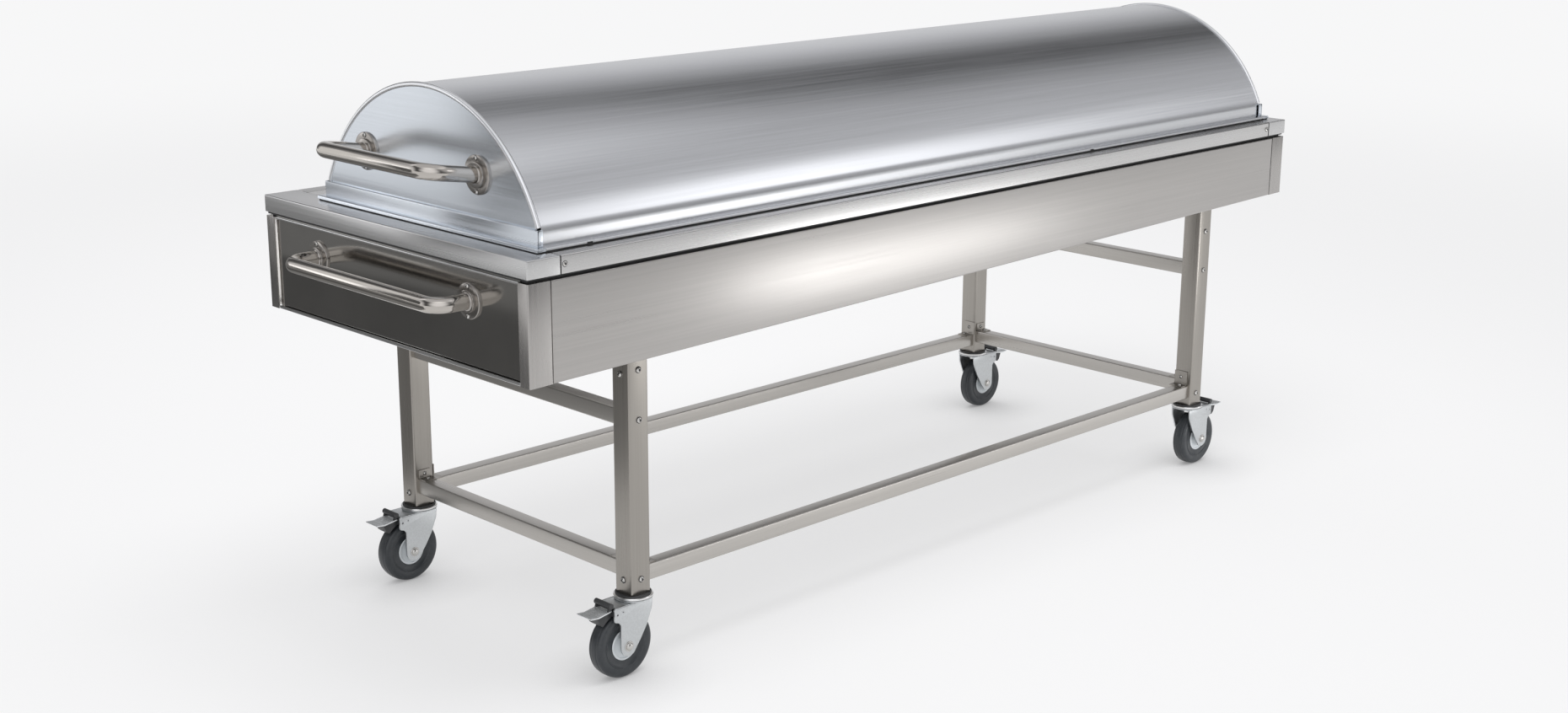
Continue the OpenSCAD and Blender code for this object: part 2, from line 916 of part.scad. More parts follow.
module cover_seal() {
    color("black") translate([cover_mid, cover_shift, 0])
        frame_ring(
            cover_half_l - sheet, cover_half_w - sheet, seal_w, deck_h, flange_z - sheet
        );
}

// Body tray.

module tray_runners() {
    color("ivory") both_sides_of_cover()
        box(
            [-runner_half_l, runner_y - runner_w / 2, well_floor],
            [runner_half_l, runner_y + runner_w / 2, tray_floor]
        );
}

module both_sides_of_cover() {
    translate([0, cover_shift, 0]) both_sides() children();
}

module body_tray() {
    color("silver") translate([0, cover_shift, 0]) difference() {
        union() {
            box(
                [-tray_bowl_half_l, -tray_bowl_half_w, tray_floor],
                [tray_bowl_half_l, tray_bowl_half_w, tray_rim_z + sheet]
            );
            box(
                [-tray_half_l, -tray_half_w, tray_rim_z],
                [tray_half_l, tray_half_w, tray_rim_z + sheet]
            );
            frame_ring(
                tray_half_l, tray_half_w, sheet, tray_rim_z, tray_rim_z + tray_edge_h
            );
        }
        box(
            [sheet - tray_bowl_half_l, sheet - tray_bowl_half_w, tray_floor + sheet],
            [tray_bowl_half_l - sheet, tray_bowl_half_w - sheet, tray_rim_z + sheet + 1]
        );
    }
}

// Loop of round bar that stands on the tray rim at each end.
module tray_grips() {
    post_l = grip_reach - grip_bend;
    bar_y = grip_span / 2 - grip_bend;
    color("silver") both_ends() translate([grip_x, cover_shift, tray_rim_z + sheet]) {
        both_sides() {
            translate([0, grip_span / 2, 0]) cylinder(h = post_l, d = grip_d);
            translate([0, bar_y, post_l]) rotate([0, -90, 0]) rotate_extrude(angle = 90)
                translate([grip_bend, 0]) circle(d = grip_d);
        }
        translate([0, bar_y, grip_reach]) rotate([90, 0, 0])
            linear_extrude(2 * bar_y) circle(d = grip_d);
    }
}

// Casters, each drawn with its wheel and its brake towards +X.

module caster_caps() {
    race_z = crown_top + race_h + race_gap;
    nut_top = crown_top - crown_t - slip;
    color("dimgray") every_leg() {
        box([-plug_w / 2, -plug_w / 2, leg_foot], [plug_w / 2, plug_w / 2, leg_foot + plug_h]);
        translate([0, 0, leg_foot - cap_h]) cylinder(h = cap_h, d = cap_d);
        translate([0, 0, race_z])
            cylinder(h = leg_foot - cap_h - race_z, d = race_d + 1);
        translate([0, 0, nut_top]) cylinder(h = race_z - nut_top, d = pin_d);
        translate([0, 0, nut_top - pin_nut_h])
            cylinder(h = pin_nut_h, d = pin_nut_d, $fn = 6);
    }
}

module fork_side_section() {
    difference() {
        union() {
            translate([trail, axle_z]) circle(r = fork_foot_r);
            polygon([
                [fork_ear_x, crown_top],
                [fork_ear_x, crown_top - 25],
                [fork_nose_x, crown_top - 30],
                [fork_nose_x, axle_z],
                [trail - 13, axle_z - 12.5],
                [trail - 27, axle_z + 7.5],
                [trail - 41.5, axle_z + 30.5],
                [-22, crown_top - 19],
                [-24, crown_top]
            ]);
        }
        translate([trail, axle_z]) circle(d = axle_hole);
    }
}

module fork(end, side) {
    color("silver") at_leg(end, side) difference() {
        union() {
            for (y = [-fork_half - fork_t, fork_half]) upright(y, fork_t) fork_side_section();
            wide_box(-24, fork_ear_x - 4, fork_half + fork_t, crown_top - crown_t, crown_top);
            translate([0, 0, crown_top]) cylinder(h = race_h, d = race_d);
            fork_rivets();
        }
        translate([0, 0, crown_top - crown_t - 1])
            cylinder(h = crown_t + race_h + 2, d = pin_hole);
    }
}

// The pedal's pivot rivet runs across, and two more rivets close the side plates.
module fork_rivets() {
    rivet_half = fork_half + fork_t + 2;
    upright(-rivet_half, 2 * rivet_half)
        translate([pivot_x, pivot_z]) circle(d = pivot_d);
    for (y = [-rivet_half, fork_half + fork_t])
        upright(y, 2) translate([pivot_x - 17, pivot_z - 3]) circle(d = pivot_d + 1);
}

module axle_bolt(end, side) {
    plate_half = fork_half + fork_t;
    color("gainsboro") translate([leg_x(end), side * leg_y, 0]) scale_end(end)
        translate([trail, 0, axle_z]) {
            rotate([90, 0, 0])
                translate([0, 0, -plate_half]) cylinder(h = 2 * plate_half, d = axle_d);
            for (face = [right, left])
                translate([0, face * (plate_half + axle_head_h / 2), 0]) rotate([90, 0, 0])
                    cylinder(h = axle_head_h, d = axle_head_d, center = true, $fn = 6);
        }
}

module at_wheel(end, side) {
    at_leg(end, side) translate([trail, 0, axle_z]) rotate([90, 0, 0]) children();
}

// Tyre with rounded shoulders and a fine groove in each side wall.
module tyre(end, side) {
    half = wheel_w / 2;
    groove_r = hub_r + 17;
    color("darkslategray") at_wheel(end, side) rotate_extrude() polygon([
        [hub_r, 2 - half],
        [groove_r - 2, 1 - half],
        [groove_r - 1, 2.5 - half],
        [groove_r + 1, 2.5 - half],
        [groove_r + 2, 0.5 - half],
        [axle_z - 6.5, -half],
        [axle_z - 1.5, 3 - half],
        [axle_z, 8 - half],
        [axle_z, half - 8],
        [axle_z - 1.5, half - 3],
        [axle_z - 6.5, half],
        [groove_r + 2, half - 0.5],
        [groove_r + 1, half - 2.5],
        [groove_r - 1, half - 2.5],
        [groove_r - 2, half - 1],
        [hub_r, half - 2]
    ]);
}

module hub(end, side) {
    half = wheel_w / 2;
    bore_r = axle_d / 2 + running;
    color("lightsteelblue") at_wheel(end, side) rotate_extrude() polygon([
        [bore_r, -hub_half],
        [bore_r + 4, -hub_half],
        [bore_r + 4, 1 - half],
        [hub_r - 3, 3 - half],
        [hub_r, 2 - half],
        [hub_r, half - 2],
        [hub_r - 3, half - 3],
        [bore_r + 4, half - 1],
        [bore_r + 4, hub_half],
        [bore_r, hub_half]
    ]);
}

// Brake pedal: pivot barrel, shoe over the tyre, ribbed treadle and release bar.
module brake_pedal(end, side) {
    root_x = fork_ear_x + 2;
    tip_x = root_x + treadle_l;
    treadle_z = wheel_d + 14;
    color("dimgray") at_leg(end, side) difference() {
        union() {
            upright(-hub_half, 2 * hub_half)
                translate([pivot_x, pivot_z]) circle(d = barrel_d);
            upright(-shoe_half, 2 * shoe_half) difference() {
                polygon([
                    [pivot_x, pivot_z + 6],
                    [root_x, treadle_z - 1],
                    [tip_x - 14, treadle_z - 4],
                    [tip_x - 14, wheel_d - 7],
                    [tip_x - 20, wheel_d - 17],
                    [pivot_x, wheel_d - 17]
                ]);
                translate([trail, axle_z]) circle(r = axle_z + shoe_gap);
            }
            upright(-treadle_half, 2 * treadle_half) treadle_section(root_x, tip_x, treadle_z);
            upright(-treadle_half + 4, 2 * treadle_half - 8)
                translate([release_x, release_z]) circle(d = release_d);
            for (y = [-treadle_half + 4, treadle_half - 8])
                upright(y, 4) polygon([
                    [release_x - 4, treadle_z - 3],
                    [release_x + 4, treadle_z - 3],
                    [release_x + 3, release_z],
                    [release_x - 3, release_z]
                ]);
        }
        upright(-hub_half - 1, 2 * hub_half + 2)
            translate([pivot_x, pivot_z]) circle(d = pivot_bore);
    }
}

// Side view of the treadle: a sloping plate with cross ribs and a turned-down tip.
module treadle_section(root_x, tip_x, top_z) {
    fall = 4;
    thick = 3.2;
    slope = fall / (tip_x - root_x);
    polygon([
        [root_x, top_z],
        [tip_x, top_z - fall],
        [tip_x + 5, top_z - fall - 7],
        [tip_x + 2.5, top_z - fall - 8],
        [tip_x - 1.5, top_z - fall - thick],
        [root_x, top_z - thick]
    ]);
    for (i = [0 : rib_count - 1]) {
        x = tip_x - 3 - i * rib_step;
        rib_z = top_z - slope * (x - root_x);
        polygon([
            [x - 1.5, rib_z - 1],
            [x + 1.5, rib_z - 1],
            [x + 1, rib_z + 1],
            [x - 1, rib_z + 1]
        ]);
    }
}

deck_pan();
deck_end_rail(near);  // deck_end_rail_near
deck_end_rail(far);  // deck_end_rail_far
deck_side_rails();
deck_rail_screws();
deck_bearers();
apron_side(left);  // apron_side_left
apron_side(right);  // apron_side_right
apron_corner_posts();
end_panel(near);  // end_panel_near
end_panel(far);  // end_panel_far
end_sills();
push_handle(near);  // push_handle_near
push_handle(far);  // push_handle_far
push_handle_flanges();
push_handle_screws();
leg_sockets();
leg(near, left);  // leg_near_left
leg(near, right);  // leg_near_right
leg(far, left);  // leg_far_left
leg(far, right);  // leg_far_right
upper_end_rails();
lower_end_rails();
lower_side_rails();
rail_brackets();
frame_bolts();
caster_caps();
tray_runners();
cover_shell();
cover_end(near);  // cover_end_near
cover_end(far);  // cover_end_far
cover_edge_beads();
cover_end_skirts();
cover_seal();
cover_handle(near);  // cover_handle_near
cover_handle(far);  // cover_handle_far
cover_handle_flanges();
cover_handle_screws();
body_tray();
tray_grips();
fork(near, left);  // fork_near_left
fork(near, right);  // fork_near_right
fork(far, left);  // fork_far_left
fork(far, right);  // fork_far_right
axle_bolt(near, left);  // axle_bolt_near_left
axle_bolt(near, right);  // axle_bolt_near_right
axle_bolt(far, left);  // axle_bolt_far_left
axle_bolt(far, right);  // axle_bolt_far_right
tyre(near, left);  // tyre_near_left
tyre(near, right);  // tyre_near_right
tyre(far, left);  // tyre_far_left
tyre(far, right);  // tyre_far_right
hub(near, left);  // hub_near_left
hub(near, right);  // hub_near_right
hub(far, left);  // hub_far_left
hub(far, right);  // hub_far_right
brake_pedal(near, left);  // brake_pedal_near_left
brake_pedal(near, right);  // brake_pedal_near_right
brake_pedal(far, left);  // brake_pedal_far_left
brake_pedal(far, right);  // brake_pedal_far_right
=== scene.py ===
"""Looks of the mortuary transfer trolley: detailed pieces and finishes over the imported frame.

Sizes are in metres in the trolley's own frame: X along it with the near end at -X, Y across
it and Z up from the floor. The lower-level helpers come first, then the finishes, the sizes,
and one operator for each piece or group of like pieces.
"""

import math

import bmesh
import bpy
from mathutils import Matrix, Vector


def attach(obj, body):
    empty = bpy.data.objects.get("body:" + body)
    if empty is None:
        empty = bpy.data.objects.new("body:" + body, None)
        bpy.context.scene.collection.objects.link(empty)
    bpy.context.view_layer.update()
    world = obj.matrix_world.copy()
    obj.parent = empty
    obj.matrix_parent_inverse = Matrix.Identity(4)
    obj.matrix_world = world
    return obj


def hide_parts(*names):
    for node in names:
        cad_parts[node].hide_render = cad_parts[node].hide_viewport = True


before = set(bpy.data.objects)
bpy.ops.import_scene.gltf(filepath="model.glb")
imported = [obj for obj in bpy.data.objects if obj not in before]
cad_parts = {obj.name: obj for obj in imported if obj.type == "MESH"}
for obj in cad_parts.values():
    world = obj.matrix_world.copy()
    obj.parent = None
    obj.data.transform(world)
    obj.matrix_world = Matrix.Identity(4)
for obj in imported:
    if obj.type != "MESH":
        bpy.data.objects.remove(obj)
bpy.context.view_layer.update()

bl_info = {
    "name": "Mortuary transfer trolley",
    "version": (1, 0, 0),
    "blender": (4, 5, 0),
    "location": "View3D > Sidebar > Trolley",
    "description": "Builds the looks of a covered mortuary transfer trolley over its frame",
    "category": "Object",
}

ENDS = {"near": -1, "far": 1}
SIDES = {"left": 1, "right": -1}
MM = 0.001
SHARP = math.radians(32)

# How far the cut edges of thin, plain and heavy plate are eased
FINE_EDGE = 0.4 * MM
PLAIN_EDGE = 0.5 * MM
BROAD_EDGE = 0.7 * MM


# Outlines


def rounded(points, radius, steps=4):
    """The closed outline with each corner turned by an arc; radius is one number or one each."""
    radii = [radius] * len(points) if isinstance(radius, (int, float)) else radius
    made = []
    for i, corner in enumerate(points):
        here = Vector(corner)
        to_last = Vector(points[i - 1]) - here
        to_next = Vector(points[(i + 1) % len(points)]) - here
        half = to_last.angle(to_next) / 2
        if radii[i] <= 0 or half > math.radians(88):
            made.append(here)
            continue
        reach = min(radii[i] / math.tan(half), 0.49 * to_last.length, 0.49 * to_next.length)
        turn = reach * math.tan(half)
        start = here + to_last.normalized() * reach
        stop = here + to_next.normalized() * reach
        between = (to_last.normalized() + to_next.normalized()).normalized()
        middle = here + between * (turn / math.sin(half))
        first = start - middle
        sweep = (stop - middle).angle_signed(first)
        for k in range(steps + 1):
            angle = sweep * k / steps
            cos, sin = math.cos(angle), math.sin(angle)
            spun = Vector((first.x * cos - first.y * sin, first.x * sin + first.y * cos))
            made.append(middle + spun)
    return made


def rectangle(x0, x1, y0, y1):
    """Corners of a rectangle, anticlockwise."""
    return [(x0, y0), (x1, y0), (x1, y1), (x0, y1)]


def sheet_path(points, thickness):
    """A closed outline round a folded sheet whose face follows the points, to their left."""
    count = len(points)
    inner = []
    for i in range(count):
        here = Vector(points[i])
        ways = []
        if i > 0:
            ways.append((here - Vector(points[i - 1])).normalized())
        if i < count - 1:
            ways.append((Vector(points[i + 1]) - here).normalized())
        normals = [Vector((-w.y, w.x)) for w in ways]
        total = sum(normals, Vector((0, 0))).normalized()
        share = total.dot(normals[0])
        inner.append(here + total * (thickness / share))
    return [Vector(p) for p in points] + inner[::-1]


def folded(path, thickness, outer, inner):
    """Outline of a sheet folded once, at the middle of three points, with both fold radii."""
    return rounded(sheet_path(path, thickness), [0, outer, 0, 0, inner, 0])


# Meshes


def lay(point, plane, height):
    """A flat point of a plane, lifted to a height along the plane's own axis."""
    a, b = point
    return {
        "XY": Vector((a, b, height)),
        "XZ": Vector((a, height, b)),
        "YZ": Vector((height, a, b)),
    }[plane]


def each_once(things):
    """The things without repeats, in the order in which they came."""
    return list(dict.fromkeys(things))


def prism(bm, outline, plane, low, high, place=None, bevel=0.0):
    """An outline pushed from low to high across its plane, with its end edges eased."""
    rings = [[bm.verts.new(lay(p, plane, level)) for p in outline] for level in (low, high)]
    count = len(outline)
    for i in range(count):
        j = (i + 1) % count
        bm.faces.new((rings[0][i], rings[0][j], rings[1][j], rings[1][i]))
    caps = [bm.faces.new(rings[0][::-1]), bm.faces.new(rings[1])]
    verts = rings[0] + rings[1]
    if bevel > 0:
        rim = each_once(edge for cap in caps for edge in cap.edges)
        eased = bmesh.ops.bevel(
            bm, geom=rim, offset=bevel, segments=2, profile=0.6, affect="EDGES"
        )
        verts = each_once([v for v in verts if v.is_valid] + eased["verts"])
    if place is not None:
        bmesh.ops.transform(bm, matrix=place, verts=verts)
    return verts


def block(bm, one, two, round_by=0.0, place=None):
    """A box between two opposite corners, in any order, with all its edges rounded."""
    low, high = [Vector([pick(pair) for pair in zip(one, two)]) for pick in (min, max)]
    centre = (low + high) / 2
    size = high - low
    made = bmesh.ops.create_cube(
        bm, size=1, matrix=Matrix.Translation(centre) @ Matrix.Diagonal((*size, 1))
    )
    verts = made["verts"]
    if round_by > 0:
        edges = each_once(e for v in verts for e in v.link_edges)
        eased = bmesh.ops.bevel(
            bm, geom=edges, offset=round_by, segments=3, profile=0.5, affect="EDGES"
        )
        verts = each_once([v for v in verts if v.is_valid] + eased["verts"])
    if place is not None:
        bmesh.ops.transform(bm, matrix=place, verts=verts)
    return verts


def revolve(bm, profile, place=None, steps=48, closed=False):
    """A profile of (radius, height) turned about Z; closed joins its last point to its first."""
    rings = []
    for radius, height in profile:
        if radius < 1e-6:
            rings.append([bm.verts.new((0, 0, height))])
            continue
        turns = [2 * math.pi * k / steps for k in range(steps)]
        spots = [(radius * math.cos(a), radius * math.sin(a), height) for a in turns]
        rings.append([bm.verts.new(spot) for spot in spots])
    pairs = list(zip(rings, rings[1:]))
    if closed:
        pairs.append((rings[-1], rings[0]))
    for one, two in pairs:
        for k in range(steps):
            n = (k + 1) % steps
            if len(one) == 1 and len(two) == 1:
                break
            if len(one) == 1:
                bm.faces.new((one[0], two[k], two[n]))
            elif len(two) == 1:
                bm.faces.new((one[k], two[0], one[n]))
            else:
                bm.faces.new((one[k], two[k], two[n], one[n]))
    verts = [v for ring in rings for v in ring]
    if place is not None:
        bmesh.ops.transform(bm, matrix=place, verts=verts)
    return verts


def sweep(bm, path, radius, steps=32, place=None):
    """A round bar along a path of points, closed at both ends."""
    points = [Vector(p) for p in path]
    tangents = []
    for i, here in enumerate(points):
        before = points[max(i - 1, 0)]
        after = points[min(i + 1, len(points) - 1)]
        tangents.append((after - before).normalized())
    side = tangents[0].orthogonal().normalized()
    rings = []
    for here, along in zip(points, tangents):
        side = (side - along * side.dot(along)).normalized()
        other = along.cross(side)
        ring = []
        for k in range(steps):
            angle = 2 * math.pi * k / steps
            spoke = side * math.cos(angle) + other * math.sin(angle)
            ring.append(bm.verts.new(here + spoke * radius))
        rings.append(ring)
    for one, two in zip(rings, rings[1:]):
        for k in range(steps):
            n = (k + 1) % steps
            bm.faces.new((one[k], one[n], two[n], two[k]))
    bm.faces.new(rings[0][::-1])
    bm.faces.new(rings[-1])
    verts = [v for ring in rings for v in ring]
    if place is not None:
        bmesh.ops.transform(bm, matrix=place, verts=verts)
    return verts


def arc_points(centre, radius, start, stop, steps):
    """Flat points on an arc, angles in degrees."""
    made = []
    for k in range(steps + 1):
        angle = math.radians(start + (stop - start) * k / steps)
        made.append((centre[0] + radius * math.cos(angle), centre[1] + radius * math.sin(angle)))
    return made


def hexagon(across):
    """Corners of a hexagon of that width across its flats."""
    reach = across / math.sqrt(3)
    turns = [math.radians(60 * k) for k in range(6)]
    return [(reach * math.cos(a), reach * math.sin(a)) for a in turns]


def piece(name, bm, finish, body, nodes=(), sharp=SHARP):
    """Closes the mesh up as one piece that rides on its body and stands for its CAD nodes."""
    bmesh.ops.recalc_face_normals(bm, faces=bm.faces)
    mesh = bpy.data.meshes.new(name)
    bm.to_mesh(mesh)
    bm.free()
    mesh.shade_smooth()
    mesh.set_sharp_from_angle(angle=sharp)
    mesh.materials.append(FINISHES[finish])
    made = bpy.data.objects.new(name, mesh)
    bpy.context.scene.collection.objects.link(made)
    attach(made, body)
    if nodes:
        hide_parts(*nodes)
    return made


def facing(direction):
    """Matrix that turns +Z to the direction."""
    return Vector(direction).to_track_quat("Z", "Y").to_matrix().to_4x4()


def at(x, y, z, direction=(0, 0, 1)):
    """Matrix that moves to the spot and turns +Z to the direction."""
    return Matrix.Translation((x, y, z)) @ facing(direction)


def flip(along, across=1):
    """Matrix that mirrors along or across the trolley where a sign is -1."""
    return Matrix.Diagonal((along, across, 1, 1))


def heading(azimuth, elevation):
    """Direction with these two angles, in degrees."""
    turn, lift = math.radians(azimuth), math.radians(elevation)
    level = math.cos(lift)
    return Vector((level * math.cos(turn), level * math.sin(turn), math.sin(lift)))


# Shader maths


class Wave:
    """A socket whose arithmetic adds Math nodes."""

    def __init__(self, maker, socket):
        self.maker = maker
        self.socket = socket

    def _math(self, operation, *values):
        made = self.maker.node("ShaderNodeMath", {"operation": operation}, *values)
        return Wave(self.maker, made.outputs[0])

    def __add__(self, other):
        return self._math("ADD", self, other)

    __radd__ = __add__

    def __mul__(self, other):
        return self._math("MULTIPLY", self, other)

    __rmul__ = __mul__

    def __sub__(self, other):
        return self._math("SUBTRACT", self, other)

    def __rsub__(self, other):
        return self._math("SUBTRACT", other, self)

    def __pow__(self, other):
        return self._math("POWER", self, other)


class Maker:
    """Adds nodes to one node tree."""

    def __init__(self, tree):
        self.tree = tree
        tree.nodes.clear()

    def node(self, kind, settings=None, *values, **named):
        """One node: its settings are set first, then its sockets by order or by name."""
        made = self.tree.nodes.new(kind)
        for key, value in (settings or {}).items():
            setattr(made, key, value)
        for i, value in enumerate(values):
            self.feed(made.inputs[i], value)
        for key, value in named.items():
            self.feed(made.inputs[key.replace("_", " ")], value)
        return made

    def feed(self, socket, value):
        """Links a wave or a socket, or sets a plain value."""
        if isinstance(value, Wave):
            self.tree.links.new(value.socket, socket)
        elif isinstance(value, bpy.types.NodeSocket):
            self.tree.links.new(value, socket)
        else:
            socket.default_value = value

    def place(self, stretch):
        """Object coordinates scaled by one number, or by three."""
        if isinstance(stretch, float):
            stretch = (stretch, stretch, stretch)
        where = self.node("ShaderNodeTexCoord").outputs["Object"]
        scaled = self.node("ShaderNodeVectorMath", {"operation": "MULTIPLY"}, where, stretch)
        return scaled.outputs[0]

    def noise(self, stretch, detail=3.0, roughness=0.5):
        """Cloudy pattern from 0 to 1, stretched by one number or by three."""
        made = self.node(
            "ShaderNodeTexNoise",
            {"noise_dimensions": "3D"},
            Vector=self.place(stretch),
            Scale=1.0,
            Detail=detail,
            Roughness=roughness,
        )
        return Wave(self, made.outputs["Fac"])

    def blend(self, share, one, two):
        """Colour between the two, by the share."""
        made = self.node("ShaderNodeMix", {"data_type": "RGBA", "clamp_factor": True})
        self.feed(made.inputs["Factor"], share)
        self.feed(made.inputs[6], one)
        self.feed(made.inputs[7], two)
        return made.outputs[2]

    def towards(self, where, azimuth, elevation):
        """How nearly a direction points that way, from -1 to 1; angles in degrees."""
        aim = heading(azimuth, elevation)
        made = self.node("ShaderNodeVectorMath", {"operation": "DOT_PRODUCT"}, where, aim)
        return Wave(self, made.outputs["Value"])

    def step(self, value, low, high):
        """A smooth rise from 0 at the low value to 1 at the high one."""
        smooth = {"interpolation_type": "SMOOTHSTEP"}
        made = self.node("ShaderNodeMapRange", smooth, value, low, high)
        return Wave(self, made.outputs[0])

    def bump(self, height, strength, distance):
        """Normal that follows the height."""
        sizes = {"Strength": strength, "Distance": distance, "Height": height}
        return self.node("ShaderNodeBump", None, **sizes).outputs[0]


def new_finish(name):
    """A new material and the maker of its nodes."""
    material = bpy.data.materials.new(name)
    material.use_nodes = True
    return material, Maker(material.node_tree)


def shaded(colour, factor):
    """The colour made lighter or darker, as a node colour."""
    return (*[min(1.0, c * factor) for c in colour], 1.0)


def surface(maker, **socket_shade):
    """The finish's one shader, from the values or waves of its sockets."""
    made = maker.node("ShaderNodeBsdfPrincipled", None, **socket_shade)
    maker.node("ShaderNodeOutputMaterial", None, made.outputs[0])


# How tightly brushing lines and wider bands are packed along and across each direction
GRAIN = {"X": (2.4, 300.0, 300.0), "Y": (300.0, 2.4, 300.0), "Z": (300.0, 300.0, 2.4)}
BANDS = {"X": (1.2, 110.0, 110.0), "Y": (110.0, 1.2, 110.0), "Z": (110.0, 110.0, 1.2)}


def brushed_steel(name, colour, rough, along, contrast=0.16, relief=0.012):
    """Stainless sheet: fine grain lines one way, faint bands, handling marks and smudges."""
    material, maker = new_finish(name)
    grain = maker.noise(GRAIN[along], detail=2.0, roughness=0.6)
    bands = maker.noise(BANDS[along], detail=2.0)
    smudge = maker.noise(2.6, detail=4.0, roughness=0.55)
    tone = grain * 0.5 + bands * 0.3 + smudge * 0.2
    base = maker.blend(tone, shaded(colour, 1 - contrast), shaded(colour, 1 + contrast))
    roughness = grain * 0.1 + bands * 0.05 + smudge * 0.06 + (rough - 0.1)
    surface(
        maker,
        Base_Color=base,
        Metallic=1.0,
        Roughness=roughness,
        Normal=maker.bump(bands, relief, 0.5 * MM),
    )
    return material


def polished_steel(name, colour, rough):
    """Buffed tube: nearly clear reflections with faint haze and fine turning marks."""
    material, maker = new_finish(name)
    haze = maker.noise(9.0, detail=5.0, roughness=0.6)
    marks = maker.noise(160.0, detail=3.0, roughness=0.7)
    base = maker.blend(haze, shaded(colour, 0.93), shaded(colour, 1.04))
    surface(
        maker,
        Base_Color=base,
        Metallic=1.0,
        Roughness=haze * 0.08 + marks * 0.06 + (rough - 0.06),
        Normal=maker.bump(marks, 0.02, 0.3 * MM),
    )
    return material


def plated_steel(name, colour, rough):
    """Zinc plate: mottled crystals, dull patches and fine pits."""
    material, maker = new_finish(name)
    cells = maker.node(
        "ShaderNodeTexVoronoi",
        {"feature": "F1"},
        Vector=maker.place(240.0),
        Scale=1.0,
    )
    crystal = Wave(maker, cells.outputs["Distance"])
    dull = maker.noise(38.0, detail=5.0, roughness=0.65)
    base = maker.blend(crystal * 0.5 + dull * 0.5, shaded(colour, 0.82), shaded(colour, 1.08))
    surface(
        maker,
        Base_Color=base,
        Metallic=0.92,
        Roughness=dull * 0.2 + crystal * 0.08 + (rough - 0.12),
        Normal=maker.bump(crystal + dull, 0.06, 0.4 * MM),
    )
    return material


def dark_steel(name, colour, rough):
    """Blackened sheet: dim mirror with cloudy film and faint cross-brushing."""
    material, maker = new_finish(name)
    film = maker.noise(4.0, detail=4.0, roughness=0.6)
    fine = maker.noise(GRAIN["Y"], detail=1.0)
    base = maker.blend(film, shaded(colour, 0.85), shaded(colour, 1.2))
    surface(
        maker,
        Base_Color=base,
        Metallic=1.0,
        Roughness=film * 0.1 + fine * 0.06 + (rough - 0.08),
        Normal=maker.bump(fine, 0.006, 0.3 * MM),
    )
    return material


def moulded(name, colour, rough, grain=300.0, relief=0.25):
    """Moulded plastic or rubber: fine leathery grain, rubbed patches and grey dust."""
    material, maker = new_finish(name)
    fine = maker.noise(grain, detail=4.0, roughness=0.6)
    dust = maker.noise(26.0, detail=5.0, roughness=0.65)
    dusty = [c * 0.75 + 0.09 for c in colour]
    base = maker.blend(dust ** 2.5, shaded(colour, 1.0), shaded(dusty, 1.0))
    surface(
        maker,
        Base_Color=base,
        Roughness=dust * 0.22 + fine * 0.12 + (rough - 0.16),
        Normal=maker.bump(fine, relief, 0.4 * MM),
    )
    return material


# Filled by make_finishes before the pieces are built
FINISHES = {}


def make_finishes(looks):
    """Every finish of the trolley, by name."""
    steel = tuple(looks.cover_colour)
    end_tint_and_light = tuple(looks.cover_end_colour)
    leg_tone_and_shade = tuple(looks.leg_colour)
    rail = tuple(looks.rail_colour)
    apron = tuple(looks.apron_colour)
    deck = tuple(looks.deck_colour)
    made = {
        "cover": brushed_steel("cover_steel", steel, 0.23, "X"),
        # The cover's ends and trim take a lighter, bluer colour that is partly painted light
        "cover_end": brushed_steel("cover_end_steel", end_tint_and_light, 0.23, "Y"),
        "cover_trim": brushed_steel("cover_trim_steel", end_tint_and_light, 0.25, "Y"),
        "cover_bead": polished_steel("cover_bead_steel", (0.86, 0.87, 0.89), 0.3),
        "deck_long": brushed_steel("deck_side_steel", (0.6, 0.595, 0.59), 0.27, "X"),
        "deck_end": brushed_steel("deck_end_steel", deck, 0.25, "Y"),
        "apron": brushed_steel("apron_side_steel", apron, 0.30, "X"),
        "post": brushed_steel("apron_post_steel", apron, 0.26, "Z"),
        "sill": brushed_steel("sill_steel", deck, 0.25, "Y"),
        "panel": dark_steel("end_panel_steel", tuple(looks.panel_colour), 0.12),
        "handle": polished_steel("handle_steel", tuple(looks.handle_colour), 0.13),
        "foot": polished_steel("handle_foot_steel", (0.36, 0.34, 0.32), 0.2),
        # Legs take a darker colour than the rails, partly painted shade
        "leg": brushed_steel("leg_steel", leg_tone_and_shade, 0.29, "Z"),
        "rail_x": brushed_steel("side_rail_steel", rail, 0.29, "X"),
        "rail_y": brushed_steel("end_rail_steel", rail, 0.29, "Y"),
        "bolt": polished_steel("bolt_steel", (0.6, 0.59, 0.57), 0.24),
        # Near-black for screw sockets, the rings under screw heads and rivet holes: painted shade
        # in hollows and under heads
        "recess": moulded("screw_recess", (0.02, 0.02, 0.02), 0.6),
        # Near-black for the deck bearers and leg sockets under the deck: painted shade, so the
        # gap under the rim reads dark
        "bearer": moulded("bearer_enamel", (0.02, 0.02, 0.02), 0.6),
        "tray": brushed_steel("tray_steel", (0.62, 0.62, 0.62), 0.27, "X"),
        "zinc": plated_steel("caster_zinc", (0.62, 0.64, 0.65), 0.34),
        "tyre": moulded("tyre_rubber", tuple(looks.tyre_colour), 0.36, 420.0, 0.12),
        "hub": moulded("hub_nylon", tuple(looks.hub_colour), 0.45, 300.0, 0.12),
        "black": moulded("black_nylon", (0.025, 0.026, 0.028), 0.42, 380.0, 0.2),
        "seal": moulded("seal_rubber", (0.018, 0.018, 0.018), 0.75, 500.0, 0.4),
        "runner": moulded("runner_nylon", (0.8, 0.79, 0.75), 0.5, 260.0, 0.15),
        "treadle": plated_steel("treadle_steel", (0.8, 0.82, 0.83), 0.34),
        "race": polished_steel("race_steel", (0.82, 0.82, 0.82), 0.18),
    }
    FINISHES.update(made)


# Sizes


